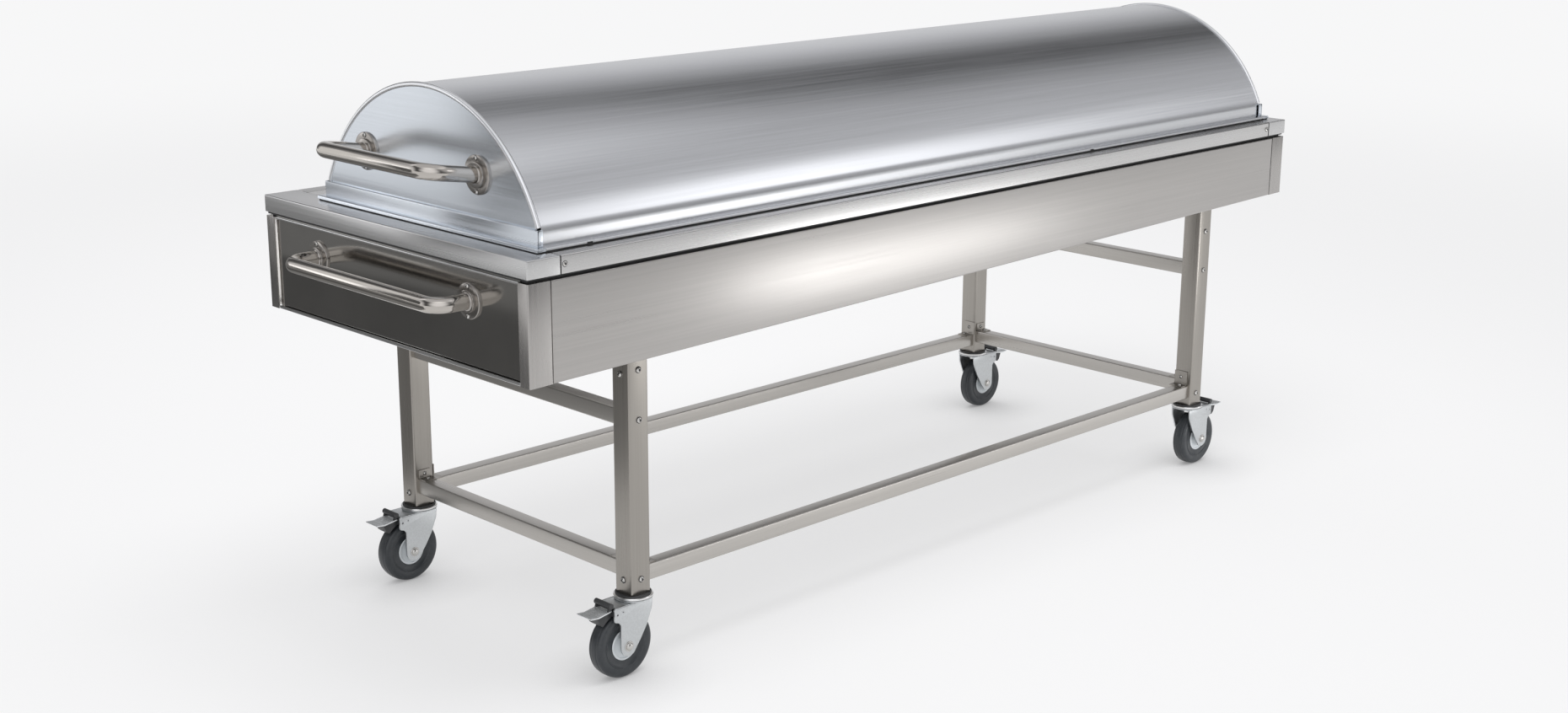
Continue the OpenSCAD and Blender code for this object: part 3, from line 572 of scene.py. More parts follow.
def length(name, default, description):
    """A size in metres that the user can change."""
    return bpy.props.FloatProperty(
        name=name, description=description, default=default, unit="LENGTH", precision=4
    )


def colour(name, default, description):
    """A colour that the user can change."""
    return bpy.props.FloatVectorProperty(
        name=name, description=description, default=default, subtype="COLOR", size=3, min=0, max=1
    )


class TrolleyDeck(bpy.types.PropertyGroup):
    """Deck, rim and apron."""

    half_l: length("Half length", 1.1, "Half the length of the deck")
    half_w: length("Half width", 0.3925, "Half the width of the deck")
    top: length("Top", 0.8, "Height of the deck top above the floor")
    rim: length("Rim", 0.031, "Height of the folded rim")
    rim_return: length("Return", 0.067, "Length of the end rail's returns")
    gap: length("Shadow gap", 0.0075, "Gap between the rim and the apron")
    seam: length("Seam", 0.002, "Gap between neighbouring sheets")
    deep_near: length("Near depth", 0.212, "Depth of the apron at the near end")
    deep_far: length("Far depth", 0.17, "Depth of the apron at the far end")
    post_side: length("Post side", 0.046, "Width of a corner post on the long side")
    post_end: length("Post end", 0.026, "Width of a corner post on the end")
    sheet: length("Sheet", 0.002, "Thickness of the folded sheet")


class TrolleyCover(bpy.types.PropertyGroup):
    """Arched cover."""

    low_x: length("Near end", -1.055, "Place of the cover's near end")
    high_x: length("Far end", 1.075, "Place of the cover's far end")
    middle_y: length("Middle", -0.04, "Place of the cover's middle across the deck")
    half_w: length("Half width", 0.3225, "Half the width over the flanges")
    foot_half: length("Arch foot", 0.306, "Half the width of the arch at its foot")
    rise: length("Rise", 0.24, "Height of the arch above the deck")
    skirt: length("Skirt", 0.034, "Height of the upright skirt")
    bead: length("Bead", 0.0045, "Radius of the rolled bead")


class TrolleyFrame(bpy.types.PropertyGroup):
    """Legs and rails."""

    near_x: length("Near legs", -0.835, "Place of the near legs")
    far_x: length("Far legs", 0.865, "Place of the far legs")
    leg_y: length("Leg offset", 0.327, "Distance of the legs from the middle plane")
    leg: length("Leg", 0.044, "Outside width of a leg")
    rail: length("Rail", 0.03, "Outside width of a rail")
    plug_top: length("Plug top", 0.17, "Height of the top of the plug in a leg")
    leg_draw: length("Leg foot", 0.1516, "Height of the leg bottoms inside the caps")
    side_rail_z: length("Side rails", 0.184, "Height of the lower side rails")
    end_rail_z: length("End rails", 0.194, "Height of the lower end rails")
    upper_rail_z: length("Upper rails", 0.473, "Height of the upper end rails")


class TrolleyHandles(bpy.types.PropertyGroup):
    """Tube handles."""

    radius: length("Tube radius", 0.014, "Outside radius of the handle tube")
    bend: length("Bend", 0.032, "Bend radius of the tube")
    push_x: length("Push panel", 1.093, "Distance of the end panel from the middle")
    push_z: length("Push height", 0.706, "Height of the push handles")
    push_span: length("Push span", 0.454, "Distance between a push handle's feet")
    push_reach: length("Push reach", 0.067, "Reach of a push handle")
    lift_y: length("Lift middle", -0.025, "Place of the cover handles across the deck")
    lift_z: length("Lift height", 0.905, "Height of the cover handles' feet")
    lift_span: length("Lift span", 0.326, "Distance between a cover handle's feet")
    lift_reach: length("Lift reach", 0.102, "Reach of a cover handle")
    lift_tilt: bpy.props.FloatProperty(
        name="Lift tilt",
        description="Upward tilt of the cover handles",
        default=math.radians(9),
        subtype="ANGLE",
    )


class TrolleyCasters(bpy.types.PropertyGroup):
    """Swivel casters."""

    wheel: length("Wheel", 0.0625, "Radius of a wheel")
    width: length("Width", 0.032, "Width of a wheel")
    trail: length("Trail", 0.032, "Distance from the swivel axis to the axle")
    hub: length("Hub", 0.029, "Radius of the hub")
    fork_half: length("Fork", 0.022, "Half the gap between the fork's sides")
    crown: length("Crown", 0.1415, "Height of the fork's crown")
    plate: length("Plate", 0.003, "Thickness of the fork's plate")
    ear: length("Ear", 0.064, "Reach of the fork's ears from the swivel axis")
    race_r: length("Race", 0.036, "Radius of the upper race")
    pivot_x: length("Pivot reach", 0.0575, "Distance from the swivel axis to the pedal's pin")
    pivot_z: length("Pivot height", 0.1285, "Height of the pedal's pin")
    treadle_z: length("Treadle", 0.1375, "Height of the treadle's top at its root")


class TrolleyLooks(bpy.types.PropertyGroup):
    """Colours of the finishes."""

    cover_colour: colour("Cover", (0.60, 0.61, 0.63), "Steel of the arched shell")
    # Lighter and bluer than the shell's steel: partly the ends' own tint and partly painted light
    # from their bright bluish reflections
    cover_end_colour: colour("Cover ends", (0.68, 0.72, 0.77), "Steel of the cover's ends")
    deck_colour: colour("Deck", (0.60, 0.60, 0.60), "Steel of the deck and its rim")
    apron_colour: colour("Apron", (0.46, 0.445, 0.43), "Steel of the apron")
    panel_colour: colour("End panels", (0.36, 0.35, 0.334), "Dark steel of the end panels")
    handle_colour: colour("Handles", (0.52, 0.492, 0.458), "Polished tube")
    # Darker than the rails: partly the legs' own tone and partly painted shade that dims their
    # shaded faces
    leg_colour: colour("Legs", (0.355, 0.335, 0.308), "Steel of the legs")
    rail_colour: colour("Rails", (0.5, 0.48, 0.452), "Steel of the rails")
    tyre_colour: colour("Tyres", (0.02, 0.025, 0.03), "Rubber of the tyres")
    hub_colour: colour("Hubs", (0.74, 0.78, 0.8), "Nylon of the hubs")


GROUPS = {
    "trolley_deck": TrolleyDeck,
    "trolley_cover": TrolleyCover,
    "trolley_frame": TrolleyFrame,
    "trolley_handles": TrolleyHandles,
    "trolley_casters": TrolleyCasters,
    "trolley_looks": TrolleyLooks,
}


def apron_low(deck, x):
    """Height of the apron's sloping lower edge at a place along the trolley."""
    share = (x + deck.half_l) / (2 * deck.half_l)
    return deck.top - deck.deep_near + (deck.deep_near - deck.deep_far) * share


def legs(sizes):
    """End name, side name, end sign, side sign and the place of each leg."""
    for end, out in ENDS.items():
        x = sizes.near_x if out < 0 else sizes.far_x
        for side, over in SIDES.items():
            yield end, side, out, over, x, over * sizes.leg_y


# Cover


# Height of the flanges over the deck, and how far the end panels and the arch stand back
FLANGE_UP = 8 * MM
PANEL_SET = 16 * MM
BEAD_SET = 18 * MM


def arch(deck, cover):
    """Height of the arch's foot, the arch's radius, and its centre in Y and Z."""
    foot_z = deck.top + cover.skirt
    rise = cover.rise - cover.skirt
    radius = (cover.foot_half ** 2 + rise ** 2) / (2 * rise)
    return foot_z, radius, (cover.middle_y, foot_z + rise - radius)


def arc_start(middle, radius, low_z):
    """Angle in degrees at which an arc round the middle leaves a height."""
    return math.degrees(math.asin((low_z - middle[1]) / radius))


class TROLLEY_OT_cover_shell(bpy.types.Operator):
    """Arched shell with its skirt and side flanges, folded from one sheet"""

    bl_idname = "trolley.cover_shell"
    bl_label = "Cover shell"

    def execute(self, context):
        deck = context.scene.trolley_deck
        cover = context.scene.trolley_cover
        flange_z = deck.top + FLANGE_UP
        outline = self.wall(deck, cover, flange_z, 0)
        outline += self.wall(deck, cover, flange_z, deck.sheet)[::-1]
        end_x = cover.bead + BEAD_SET
        bm = bmesh.new()
        prism(bm, outline, "YZ", cover.low_x + end_x, cover.high_x - end_x)
        piece("cover_arch", bm, "cover", "cover", ["cover_shell"])
        self.flanges(deck, cover, flange_z)
        return {"FINISHED"}

    def wall(self, deck, cover, flange_z, inset):
        """One face of the arch with its upright skirts, eased where they meet."""
        ease = 9 * MM
        turn = 14
        foot_z, radius, middle = arch(deck, cover)
        low = arc_start(middle, radius, foot_z) + math.degrees(ease / radius)
        top = arc_points(middle, radius - inset, low, 180 - low, 160)
        half = cover.foot_half - inset
        left_y, right_y = cover.middle_y + half, cover.middle_y - half
        into = [(left_y, foot_z - ease), (left_y, foot_z), top[0]]
        out = [top[-1], (right_y, foot_z), (right_y, foot_z - ease)]
        eased = []
        for a, b, c in (into, out):
            for k in range(turn + 1):
                t = k / turn
                shares = ((1 - t) ** 2, 2 * t * (1 - t), t ** 2)
                spots = zip(shares, (a, b, c))
                eased.append(sum((Vector(p) * s for s, p in spots), Vector((0, 0))))
        first, last = eased[: turn + 1], eased[turn + 1:]
        return [(left_y, flange_z), *first, *top[1:-1], *last, (right_y, flange_z)]

    def flanges(self, deck, cover, flange_z):
        """Side flanges with a rounded lip that is notched at the lifting points."""
        sheet = deck.sheet
        lips = (3.2 * MM, 5.5 * MM)
        half_notch = 6 * MM
        inset = BEAD_SET + 0.3 * MM
        marks = [cover.low_x + inset]
        for notch in (cover.low_x + 109 * MM, cover.high_x - 669 * MM):
            marks += [notch - half_notch, notch + half_notch]
        marks.append(cover.high_x - inset)
        bm = bmesh.new()
        for over in SIDES.values():
            inner_y = cover.middle_y + over * (cover.foot_half - sheet)
            outer_y = cover.middle_y + over * cover.half_w
            for i, (x0, x1) in enumerate(zip(marks, marks[1:])):
                lip_z = deck.top + lips[i % 2]
                path = [(inner_y, flange_z), (outer_y, flange_z), (outer_y, lip_z)]
                if over < 0:
                    path = [(-y, z) for y, z in path]
                outline = folded(path, -sheet, 2.4 * MM, 0.8 * MM)
                if over < 0:
                    outline = [(-p.x, p.y) for p in outline]
                prism(bm, outline, "YZ", x0, x1)
        piece("cover_side_flanges", bm, "cover", "cover", ["cover_shell"])


class TROLLEY_OT_cover_ends(bpy.types.Operator):
    """End panels, rolled beads, plinths and end flanges of the cover"""

    bl_idname = "trolley.cover_ends"
    bl_label = "Cover ends"

    def execute(self, context):
        deck = context.scene.trolley_deck
        cover = context.scene.trolley_cover
        for end, out in ENDS.items():
            end_x = cover.high_x if out > 0 else cover.low_x
            self.panel(deck, cover, end, out, end_x - out * PANEL_SET)
            self.bead(deck, cover, end, end_x - out * BEAD_SET)
            self.skirt(deck, cover, end, out, end_x)
        return {"FINISHED"}

    def panel(self, deck, cover, end, out, x):
        """Flat sheet that closes one end of the arch."""
        foot_z, radius, middle = arch(deck, cover)
        reach = radius - 5.2 * MM
        start = arc_start(middle, reach, foot_z)
        outline = arc_points(middle, reach, start, 180 - start, 120)
        half = outline[0][0] - middle[0]
        flange_z = deck.top + FLANGE_UP
        outline += [(middle[0] - half, flange_z), (middle[0] + half, flange_z)]
        low, high = sorted((x, x - out * deck.sheet))
        bm = bmesh.new()
        prism(bm, outline, "YZ", low, high, bevel=FINE_EDGE)
        name, node = f"cover_panel_{end}", f"cover_end_{end}"
        piece(name, bm, "cover_end", "cover", [node])

    def bead(self, deck, cover, end, x):
        """Rolled bead along one edge of the arch."""
        foot_z, radius, middle = arch(deck, cover)
        radius -= deck.sheet / 2
        start = arc_start(middle, radius, foot_z + 3 * MM)
        path = [(x, y, z) for y, z in arc_points(middle, radius, start, 180 - start, 140)]
        bm = bmesh.new()
        sweep(bm, path, cover.bead, 20)
        name, node = f"cover_bead_{end}", "cover_edge_beads"
        piece(name, bm, "cover_bead", "cover", [node])

    def skirt(self, deck, cover, end, out, end_x):
        """Folded plinth and flange, with corner returns."""
        sheet = deck.sheet
        lip_z, flange_z = deck.top + 2 * MM, deck.top + FLANGE_UP
        plinth_x, plinth_z = -10 * MM, deck.top + cover.skirt + 1 * MM
        place = Matrix.Translation((end_x, 0, 0)) @ flip(out)
        bm = bmesh.new()
        lip = [(-BEAD_SET, flange_z), (0, flange_z), (0, lip_z)]
        outline = folded(lip, -sheet, 2.4 * MM, 0.8 * MM)
        wide = cover.half_w
        prism(bm, outline, "XZ", cover.middle_y - wide, cover.middle_y + wide, place)
        half = cover.foot_half + 4.5 * MM
        ledge = [(-PANEL_SET, plinth_z), (plinth_x, plinth_z), (plinth_x, flange_z)]
        outline = folded(ledge, -sheet, 2.2 * MM, 0.6 * MM)
        low, high = cover.middle_y - half, cover.middle_y + half
        prism(bm, outline, "XZ", low, high, place, PLAIN_EDGE)
        back, front = -22 * MM, plinth_x - 0.6 * MM
        for over in SIDES.values():
            face = cover.middle_y + over * half
            edge = cover.middle_y + over * wide
            returns = [
                ((back, face, flange_z), (front, face - over * sheet, plinth_z - 0.4 * MM)),
                ((back, face, plinth_z - sheet), (front, face - over * 9 * MM, plinth_z)),
                ((-BEAD_SET, edge, lip_z), (-0.6 * MM, edge - over * sheet, flange_z - 0.3 * MM)),
            ]
            for one, two in returns:
                block(bm, one, two, PLAIN_EDGE, place)
        name, node = f"cover_skirt_{end}", "cover_end_skirts"
        piece(name, bm, "cover_trim", "cover", [node])


# Deck and apron


class TROLLEY_OT_deck(bpy.types.Operator):
    """Folded rim of the deck: end rails that wrap the corners, side rails and rim screws"""

    bl_idname = "trolley.deck"
    bl_label = "Deck rim"

    def execute(self, context):
        deck = context.scene.trolley_deck
        for end, out in ENDS.items():
            self.end_rail(deck, end, out)
        self.side_rails(deck)
        self.screws(deck)
        return {"FINISHED"}

    def end_rail(self, deck, end, out):
        """One pressed cap: top, front and two returns with rounded edges."""
        bm = bmesh.new()
        low = (deck.half_l - deck.rim_return, -deck.half_w, deck.top - deck.rim)
        high = (deck.half_l, deck.half_w, deck.top)
        block(bm, low, high)
        bm.faces.ensure_lookup_table()
        gone = [f for f in bm.faces if f.normal.z < -0.5 or f.normal.x < -0.5]
        bmesh.ops.delete(bm, geom=gone, context="FACES")
        folds = [e for e in bm.edges if len(e.link_faces) == 2]
        bmesh.ops.bevel(bm, geom=folds, offset=2.2 * MM, segments=4, profile=0.5, affect="EDGES")
        bmesh.ops.recalc_face_normals(bm, faces=bm.faces)
        top = max(bm.faces, key=lambda f: f.calc_center_median().z * f.calc_area())
        if top.normal.z < 0:
            bmesh.ops.reverse_faces(bm, faces=bm.faces)
        bmesh.ops.solidify(bm, geom=bm.faces, thickness=deck.sheet)
        bmesh.ops.transform(bm, matrix=flip(out), verts=bm.verts)
        name, node = f"deck_end_cap_{end}", f"deck_end_rail_{end}"
        piece(name, bm, "deck_end", "trolley", [node])

    def side_rails(self, deck):
        """Folded rails along both long sides, between the end caps."""
        reach = deck.half_l - deck.rim_return - deck.seam - 0.6 * MM
        bm = bmesh.new()
        path = [
            (deck.half_w - 40 * MM, deck.top),
            (deck.half_w, deck.top),
            (deck.half_w, deck.top - deck.rim),
        ]
        outline = folded(path, -deck.sheet, 2.4 * MM, 0.6 * MM)
        prism(bm, outline, "YZ", -reach, reach, bevel=BROAD_EDGE)
        prism(bm, [(-p.x, p.y) for p in outline], "YZ", -reach, reach, bevel=BROAD_EDGE)
        piece("deck_long_rails", bm, "deck_long", "trolley", ["deck_side_rails"])

    def screws(self, deck):
        """One screw near each end of both side rails."""
        bm = bmesh.new()
        dark = bmesh.new()
        x = deck.half_l - deck.rim_return - 10 * MM
        for out in ENDS.values():
            for over in SIDES.values():
                place = at(out * x, over * deck.half_w, deck.top - 15 * MM, (0, over, 0))
                pan_head(bm, dark, place, 4.6 * MM, 2.0 * MM)
        piece("rim_screw_heads", bm, "bolt", "trolley", ["deck_rail_screws"])
        # Dark sockets and rings of the rim screws: painted shade
        piece("rim_screw_slots", dark, "recess", "trolley", [])


def pan_head(bm, dark, place, radius, height):
    """A low domed head with a hexagon socket painted dark as shade and a thin dark ring under its
    edge as a painted shadow line.
    """
    well = 0.72 * height
    profile = [(0, well), (0.42 * radius, well), (0.44 * radius, height)]
    profile += [
        (radius * math.sin(math.radians(a)), height * (0.18 + 0.82 * math.cos(math.radians(a))))
        for a in range(32, 91, 9)
    ]
    profile += [(radius, 0)]
    revolve(bm, profile, place, 28)
    ring = 1.17 * radius
    # Dark ring just wider than the head: painted shadow line under its edge
    revolve(dark, [(0, 0), (ring, 0), (ring, 0.08 * height), (0, 0.14 * height)], place, 28)
    # Dark hexagon in the head: painted shade in the socket
    prism(dark, hexagon(0.8 * radius), "XY", 0.4 * height, 0.76 * height, place)


class TROLLEY_OT_apron(bpy.types.Operator):
    """Apron sheets with a sloping lower edge, folded corner posts and end sills"""

    bl_idname = "trolley.apron"
    bl_label = "Apron"

    def execute(self, context):
        deck = context.scene.trolley_deck
        for side, over in SIDES.items():
            self.side(deck, side, over)
        self.posts(deck)
        self.sills(deck)
        self.strips(deck)
        return {"FINISHED"}

    def side(self, deck, side, over):
        """Folded sheet: upright face, a turned-in lip below and a folded hem above."""
        reach = deck.half_l - 1 * MM - deck.post_side - deck.seam
        face = deck.half_w - 1 * MM
        top = deck.top - deck.rim - deck.gap
        low = deck.top - deck.deep_near
        hem = 5 * MM
        path = [(face - 18 * MM, low), (face, low), (face, top), (face - hem, top)]
        path.append((face - hem, top - hem))
        turns = [0, 2.4 * MM, 2.0 * MM, 2.0 * MM, 0, 0, 0.4 * MM, 0.4 * MM, 0.6 * MM, 0]
        outline = rounded(sheet_path(path, deck.sheet), turns)
        bm = bmesh.new()
        verts = prism(bm, outline, "YZ", -reach, reach, bevel=BROAD_EDGE)
        for v in verts:
            if v.co.z < low + 30 * MM:
                v.co.z += apron_low(deck, v.co.x) - low
        bmesh.ops.transform(bm, matrix=flip(1, over), verts=bm.verts)
        piece(f"apron_sheet_{side}", bm, "apron", "trolley", [f"apron_side_{side}"])

    def posts(self, deck):
        """Folded posts at the four corners, cut to the sloping lower edge."""
        reach = deck.half_l - 1 * MM
        face = deck.half_w - 1 * MM
        top = deck.top - deck.rim - deck.gap
        sheet = deck.sheet
        path = [
            (reach - deck.post_side, face),
            (reach, face),
            (reach, face - deck.post_end),
        ]
        outline = folded(path, -sheet, 2.6 * MM, 0.8 * MM)
        bm = bmesh.new()
        for out in ENDS.values():
            for over in SIDES.values():
                place = flip(out, over)
                verts = prism(bm, outline, "XY", 0, top, place, BROAD_EDGE)
                for v in verts:
                    if v.co.z < 0.1:
                        v.co.z = apron_low(deck, v.co.x)
        piece("apron_posts", bm, "post", "trolley", ["apron_corner_posts"])

    def strips(self, deck):
        """Black strips set back in the gap between the rim and the apron: painted shade that
        makes the gap a dark line.
        """
        top = deck.top - deck.rim
        low, high = top - deck.gap - 3 * MM, top + 6 * MM
        out_x, out_y = deck.half_l - 10 * MM, deck.half_w - 10 * MM
        wide = 3 * MM
        bm = bmesh.new()
        in_x, in_y = out_x - wide, out_y - wide
        for over in SIDES.values():
            block(bm, (-out_x, over * out_y, low), (out_x, over * in_y, high))
        for out in ENDS.values():
            block(bm, (out * out_x, -in_y, low), (out * in_x, in_y, high))
        piece("rim_seal_strips", bm, "seal", "trolley", [])

    def sills(self, deck):
        """Bright sill under each end panel and the rolled hem above it."""
        half = deck.half_w - 1 * MM - deck.post_end - deck.seam
        face = deck.half_l - 2 * MM
        top = deck.top - deck.rim - deck.gap
        hem = rounded(rectangle(face - 8 * MM, face - 2 * MM, top - 5 * MM, top), 1.6 * MM)
        bm = bmesh.new()
        for out in ENDS.values():
            low = apron_low(deck, out * face)
            path = [(face - 56 * MM, low), (face, low), (face, low + 6 * MM)]
            outline = folded(path, deck.sheet, 1.8 * MM, 0.5 * MM)
            place = flip(out)
            prism(bm, outline, "XZ", -half, half, place)
            prism(bm, hem, "XZ", -half, half, place)
        piece("end_sill_strips", bm, "sill", "trolley", ["end_sills"])


# Handles


# Radius of a foot, of its boss and of its ring of screws, and how high a foot stands
PUSH_FOOT = (31 * MM, 19.5 * MM, 25.5 * MM)
LIFT_FOOT = (34 * MM, 22.5 * MM, 28.5 * MM)
FOOT_HIGH = 8 * MM


def d_path(span, reach, bend, start):
    """Middle line of a D-shaped handle, in its own X and Y."""
    half = span / 2
    path = [(start, -half, 0)]
    path += [(x, y, 0) for x, y in arc_points((reach - bend, bend - half), bend, -90, 0, 14)]
    path += [(reach, y, 0) for y in (-half / 2, 0, half / 2)]
    path += [(x, y, 0) for x, y in arc_points((reach - bend, half - bend), bend, 0, 90, 14)]
    return path + [(start, half, 0)]


def round_foot(bm, place, radius, boss):
    """Two-layer foot of a handle, with eased edges and a weld ring round the tube."""
    profile = [
        (0, 0),
        (radius, 0),
        (radius, 2.8 * MM),
        (radius - 0.5 * MM, 3.6 * MM),
        (radius - 1.3 * MM, 4 * MM),
        (boss, 4 * MM),
        (boss, 7 * MM),
        (boss - 0.4 * MM, 7.7 * MM),
        (boss - 1.2 * MM, FOOT_HIGH),
        (0, FOOT_HIGH),
    ]
    revolve(bm, profile, place, 64)
    weld = [(14.2, 7.6), (16.6, 7.8), (15.9, 9.0), (14.2, 10.2)]
    revolve(bm, [(r * MM, z * MM) for r, z in weld], place, 64, closed=True)


class TROLLEY_OT_handles(bpy.types.Operator):
    """Bent tube handles with their round feet and screws, at both ends"""

    bl_idname = "trolley.handles"
    bl_label = "Handles"

    def execute(self, context):
        handle = context.scene.trolley_handles
        cover = context.scene.trolley_cover
        for end, out in ENDS.items():
            place = Matrix.Translation((out * handle.push_x, 0, handle.push_z)) @ flip(out)
            path = d_path(handle.push_span, handle.push_reach, handle.bend, FOOT_HIGH)
            bm = bmesh.new()
            sweep(bm, path, handle.radius, 40, place)
            name, node = f"push_tube_{end}", f"push_handle_{end}"
            piece(name, bm, "handle", "trolley", [node])
            self.feet(f"push_feet_{end}", place, handle.push_span, PUSH_FOOT, "trolley", "push")
            cover_x = cover.high_x if out > 0 else cover.low_x
            spot = (cover_x - out * PANEL_SET, handle.lift_y, handle.lift_z)
            place = Matrix.Translation(spot) @ flip(out)
            self.tilted(f"cover_tube_{end}", place, handle, end)
            self.feet(f"cover_feet_{end}", place, handle.lift_span, LIFT_FOOT, "cover", "cover")
        return {"FINISHED"}

    def tilted(self, name, place, handle, end):
        """The tilted tube, whose ends are cut level with the feet."""
        tilt = Matrix.Rotation(-handle.lift_tilt, 4, "Y")
        bm = bmesh.new()
        path = d_path(handle.lift_span, handle.lift_reach, handle.bend, 2 * MM)
        sweep(bm, path, handle.radius, 40, tilt)
        bmesh.ops.bisect_plane(
            bm,
            geom=bm.verts[:] + bm.edges[:] + bm.faces[:],
            plane_co=(FOOT_HIGH, 0, 0),
            plane_no=(-1, 0, 0),
            clear_outer=True,
        )
        bmesh.ops.holes_fill(bm, edges=bm.edges, sides=0)
        bmesh.ops.transform(bm, matrix=place, verts=bm.verts)
        piece(name, bm, "handle", "cover", [f"cover_handle_{end}"])

    def feet(self, name, place, span, sizes, body, kind):
        """Both feet of a handle, with the screws above and below the tube."""
        radius, boss, screw_ring = sizes
        bm = bmesh.new()
        heads = bmesh.new()
        dark = bmesh.new()
        for over in SIDES.values():
            foot = place @ at(0, over * span / 2, 0, (1, 0, 0))
            round_foot(bm, foot, radius, boss)
            for up in (-1, 1):
                spot = place @ at(4 * MM, over * span / 2, up * screw_ring, (1, 0, 0))
                pan_head(heads, dark, spot, 4 * MM, 3 * MM)
        piece(name, bm, "foot", body, [f"{kind}_handle_flanges"])
        screws = f"{kind}_handle_screws"
        piece(f"{name}_screws", heads, "bolt", body, [screws])
        # Dark sockets and rings of the foot screws: painted shade
        piece(f"{name}_sockets", dark, "recess", body, [])


# Legs and rails


# Thickness of the angle brackets, and how far the two upper bolts stand above the floor
BRACKET = 2 * MM
SIDE_BOLT_Z = 0.563
END_BOLT_Z = 0.555


def tube_outline(width, corner):
    """Outline of a square tube with rounded corners."""
    half = width / 2
    return rounded(rectangle(-half, half, -half, half), corner, 5)


class TROLLEY_OT_legs(bpy.types.Operator):
    """Square tube legs with rounded corners"""

    bl_idname = "trolley.legs"
    bl_label = "Legs"

    def execute(self, context):
        deck = context.scene.trolley_deck
        tubes = context.scene.trolley_frame
        top = deck.top - deck.rim - deck.gap
        outline = tube_outline(tubes.leg, 3.2 * MM)
        for end, side, _out, _over, x, y in legs(tubes):
            bm = bmesh.new()
            place = Matrix.Translation((x, y, 0))
            prism(bm, outline, "XY", tubes.leg_draw, top, place, PLAIN_EDGE)
            name = f"leg_{end}_{side}"
            piece(f"{name}_tube", bm, "leg", "trolley", [name])
        return {"FINISHED"}


class TROLLEY_OT_rails(bpy.types.Operator):
    """Square tube rails between the legs"""

    bl_idname = "trolley.rails"
    bl_label = "Rails"

    def execute(self, context):
        tubes = context.scene.trolley_frame
        half_leg = tubes.leg / 2
        outline = tube_outline(tubes.rail, 2.4 * MM)
        side = bmesh.new()
        for over in SIDES.values():
            shifted = [(p.x + over * tubes.leg_y, p.y + tubes.side_rail_z) for p in outline]
            prism(side, shifted, "YZ", tubes.near_x + half_leg, tubes.far_x - half_leg)
        piece("side_rail_tubes", side, "rail_x", "trolley", ["lower_side_rails"])
        inner = tubes.leg_y - half_leg
        rows = {"upper_end_rails": tubes.upper_rail_z, "lower_end_rails": tubes.end_rail_z}
        for name, z in rows.items():
            bm = bmesh.new()
            for x in (tubes.near_x, tubes.far_x):
                shifted = [(p.x + x, p.y + z) for p in outline]
                prism(bm, shifted, "XZ", -inner, inner)
            piece(f"{name}_tubes", bm, "rail_y", "trolley", [name])
        return {"FINISHED"}


class TROLLEY_OT_fixings(bpy.types.Operator):
    """Angle brackets over the rails, dome-headed bolts and bracket screws"""

    bl_idname = "trolley.fixings"
    bl_label = "Brackets and bolts"

    def execute(self, context):
        tubes = context.scene.trolley_frame
        bolt_r = 6.2 * MM
        brackets = bmesh.new()
        heads = bmesh.new()
        dark = bmesh.new()
        for _end, _side, out, over, x, y in legs(tubes):
            place = Matrix.Translation((x, y, 0)) @ flip(out, over)
            self.brackets(brackets, tubes, place)
            half = tubes.leg / 2
            for z in (SIDE_BOLT_Z, tubes.upper_rail_z, tubes.end_rail_z - 14 * MM):
                dome_head(heads, dark, at(x, y + over * half, z, (0, over, 0)), bolt_r)
            for z in (END_BOLT_Z, tubes.side_rail_z - 6 * MM):
                dome_head(heads, dark, at(x + out * half, y, z, (out, 0, 0)), bolt_r)
            self.bracket_screws(heads, dark, tubes, out, over, x, y)
        piece("rail_angle_brackets", brackets, "leg", "trolley", ["rail_brackets"])
        piece("frame_bolt_heads", heads, "bolt", "trolley", ["frame_bolts"])
        # Dark sockets and rings of the frame bolts: painted shade
        piece("frame_bolt_sockets", dark, "recess", "trolley", [])
        return {"FINISHED"}

    def brackets(self, bm, tubes, place):
        """A wide bracket over the side rail and a narrow one over the end rail."""
        face = -tubes.leg / 2
        back = face - BRACKET
        leaf = tubes.rail / 2 - 1 * MM
        rows = [
            ("XZ", tubes.side_rail_z + tubes.rail / 2, 33 * MM, face, face + 34 * MM),
            ("YZ", tubes.end_rail_z + tubes.rail / 2, 18 * MM, -leaf, leaf),
        ]
        for plane, rail_top, tall, low, high in rows:
            lies = rail_top + BRACKET
            path = [(face - 23 * MM, lies), (back, lies), (back, rail_top + tall)]
            outline = folded(path, -BRACKET, 1.6 * MM, 3.2 * MM)
            prism(bm, outline, plane, low, high, place, FINE_EDGE)

    def bracket_screws(self, heads, dark, tubes, out, over, x, y):
        """Two screws through each bracket: one into the leg and one into the rail."""
        half = tubes.leg / 2 + BRACKET
        away = 35 * MM
        side_z = tubes.side_rail_z + tubes.rail / 2
        end_z = tubes.end_rail_z + tubes.rail / 2
        screws = [
            ((x - out * half, y - over * 5 * MM, side_z + 19 * MM), (-out, 0, 0)),
            ((x, y - over * half, end_z + 10 * MM), (0, -over, 0)),
            ((x - out * away, y, side_z + BRACKET), (0, 0, 1)),
            ((x, y - over * away, end_z + BRACKET), (0, 0, 1)),
        ]
        for spot, way in screws:
            dome_head(heads, dark, at(*spot, way), 4.2 * MM)


def dome_head(bm, dark, place, radius):
    """A button head on a thin washer, with a hexagon socket and a ring painted dark as shade."""
    washer = 0.8 * MM
    height = 0.55 * radius
    edge = [(radius, 0), (radius, 0.7 * washer), (radius * 0.93, washer)]
    revolve(bm, [(0, 0), *edge, (0, washer)], place, 28)
    lifted = place @ Matrix.Translation((0, 0, washer))
    pan_head(bm, dark, lifted, radius * 0.84, height)


# Casters


def caster_place(out, x, y):
    """The caster's own frame: swivel axis at the origin, wheel and brake towards +X."""
    return Matrix.Translation((x, y, 0)) @ flip(out)


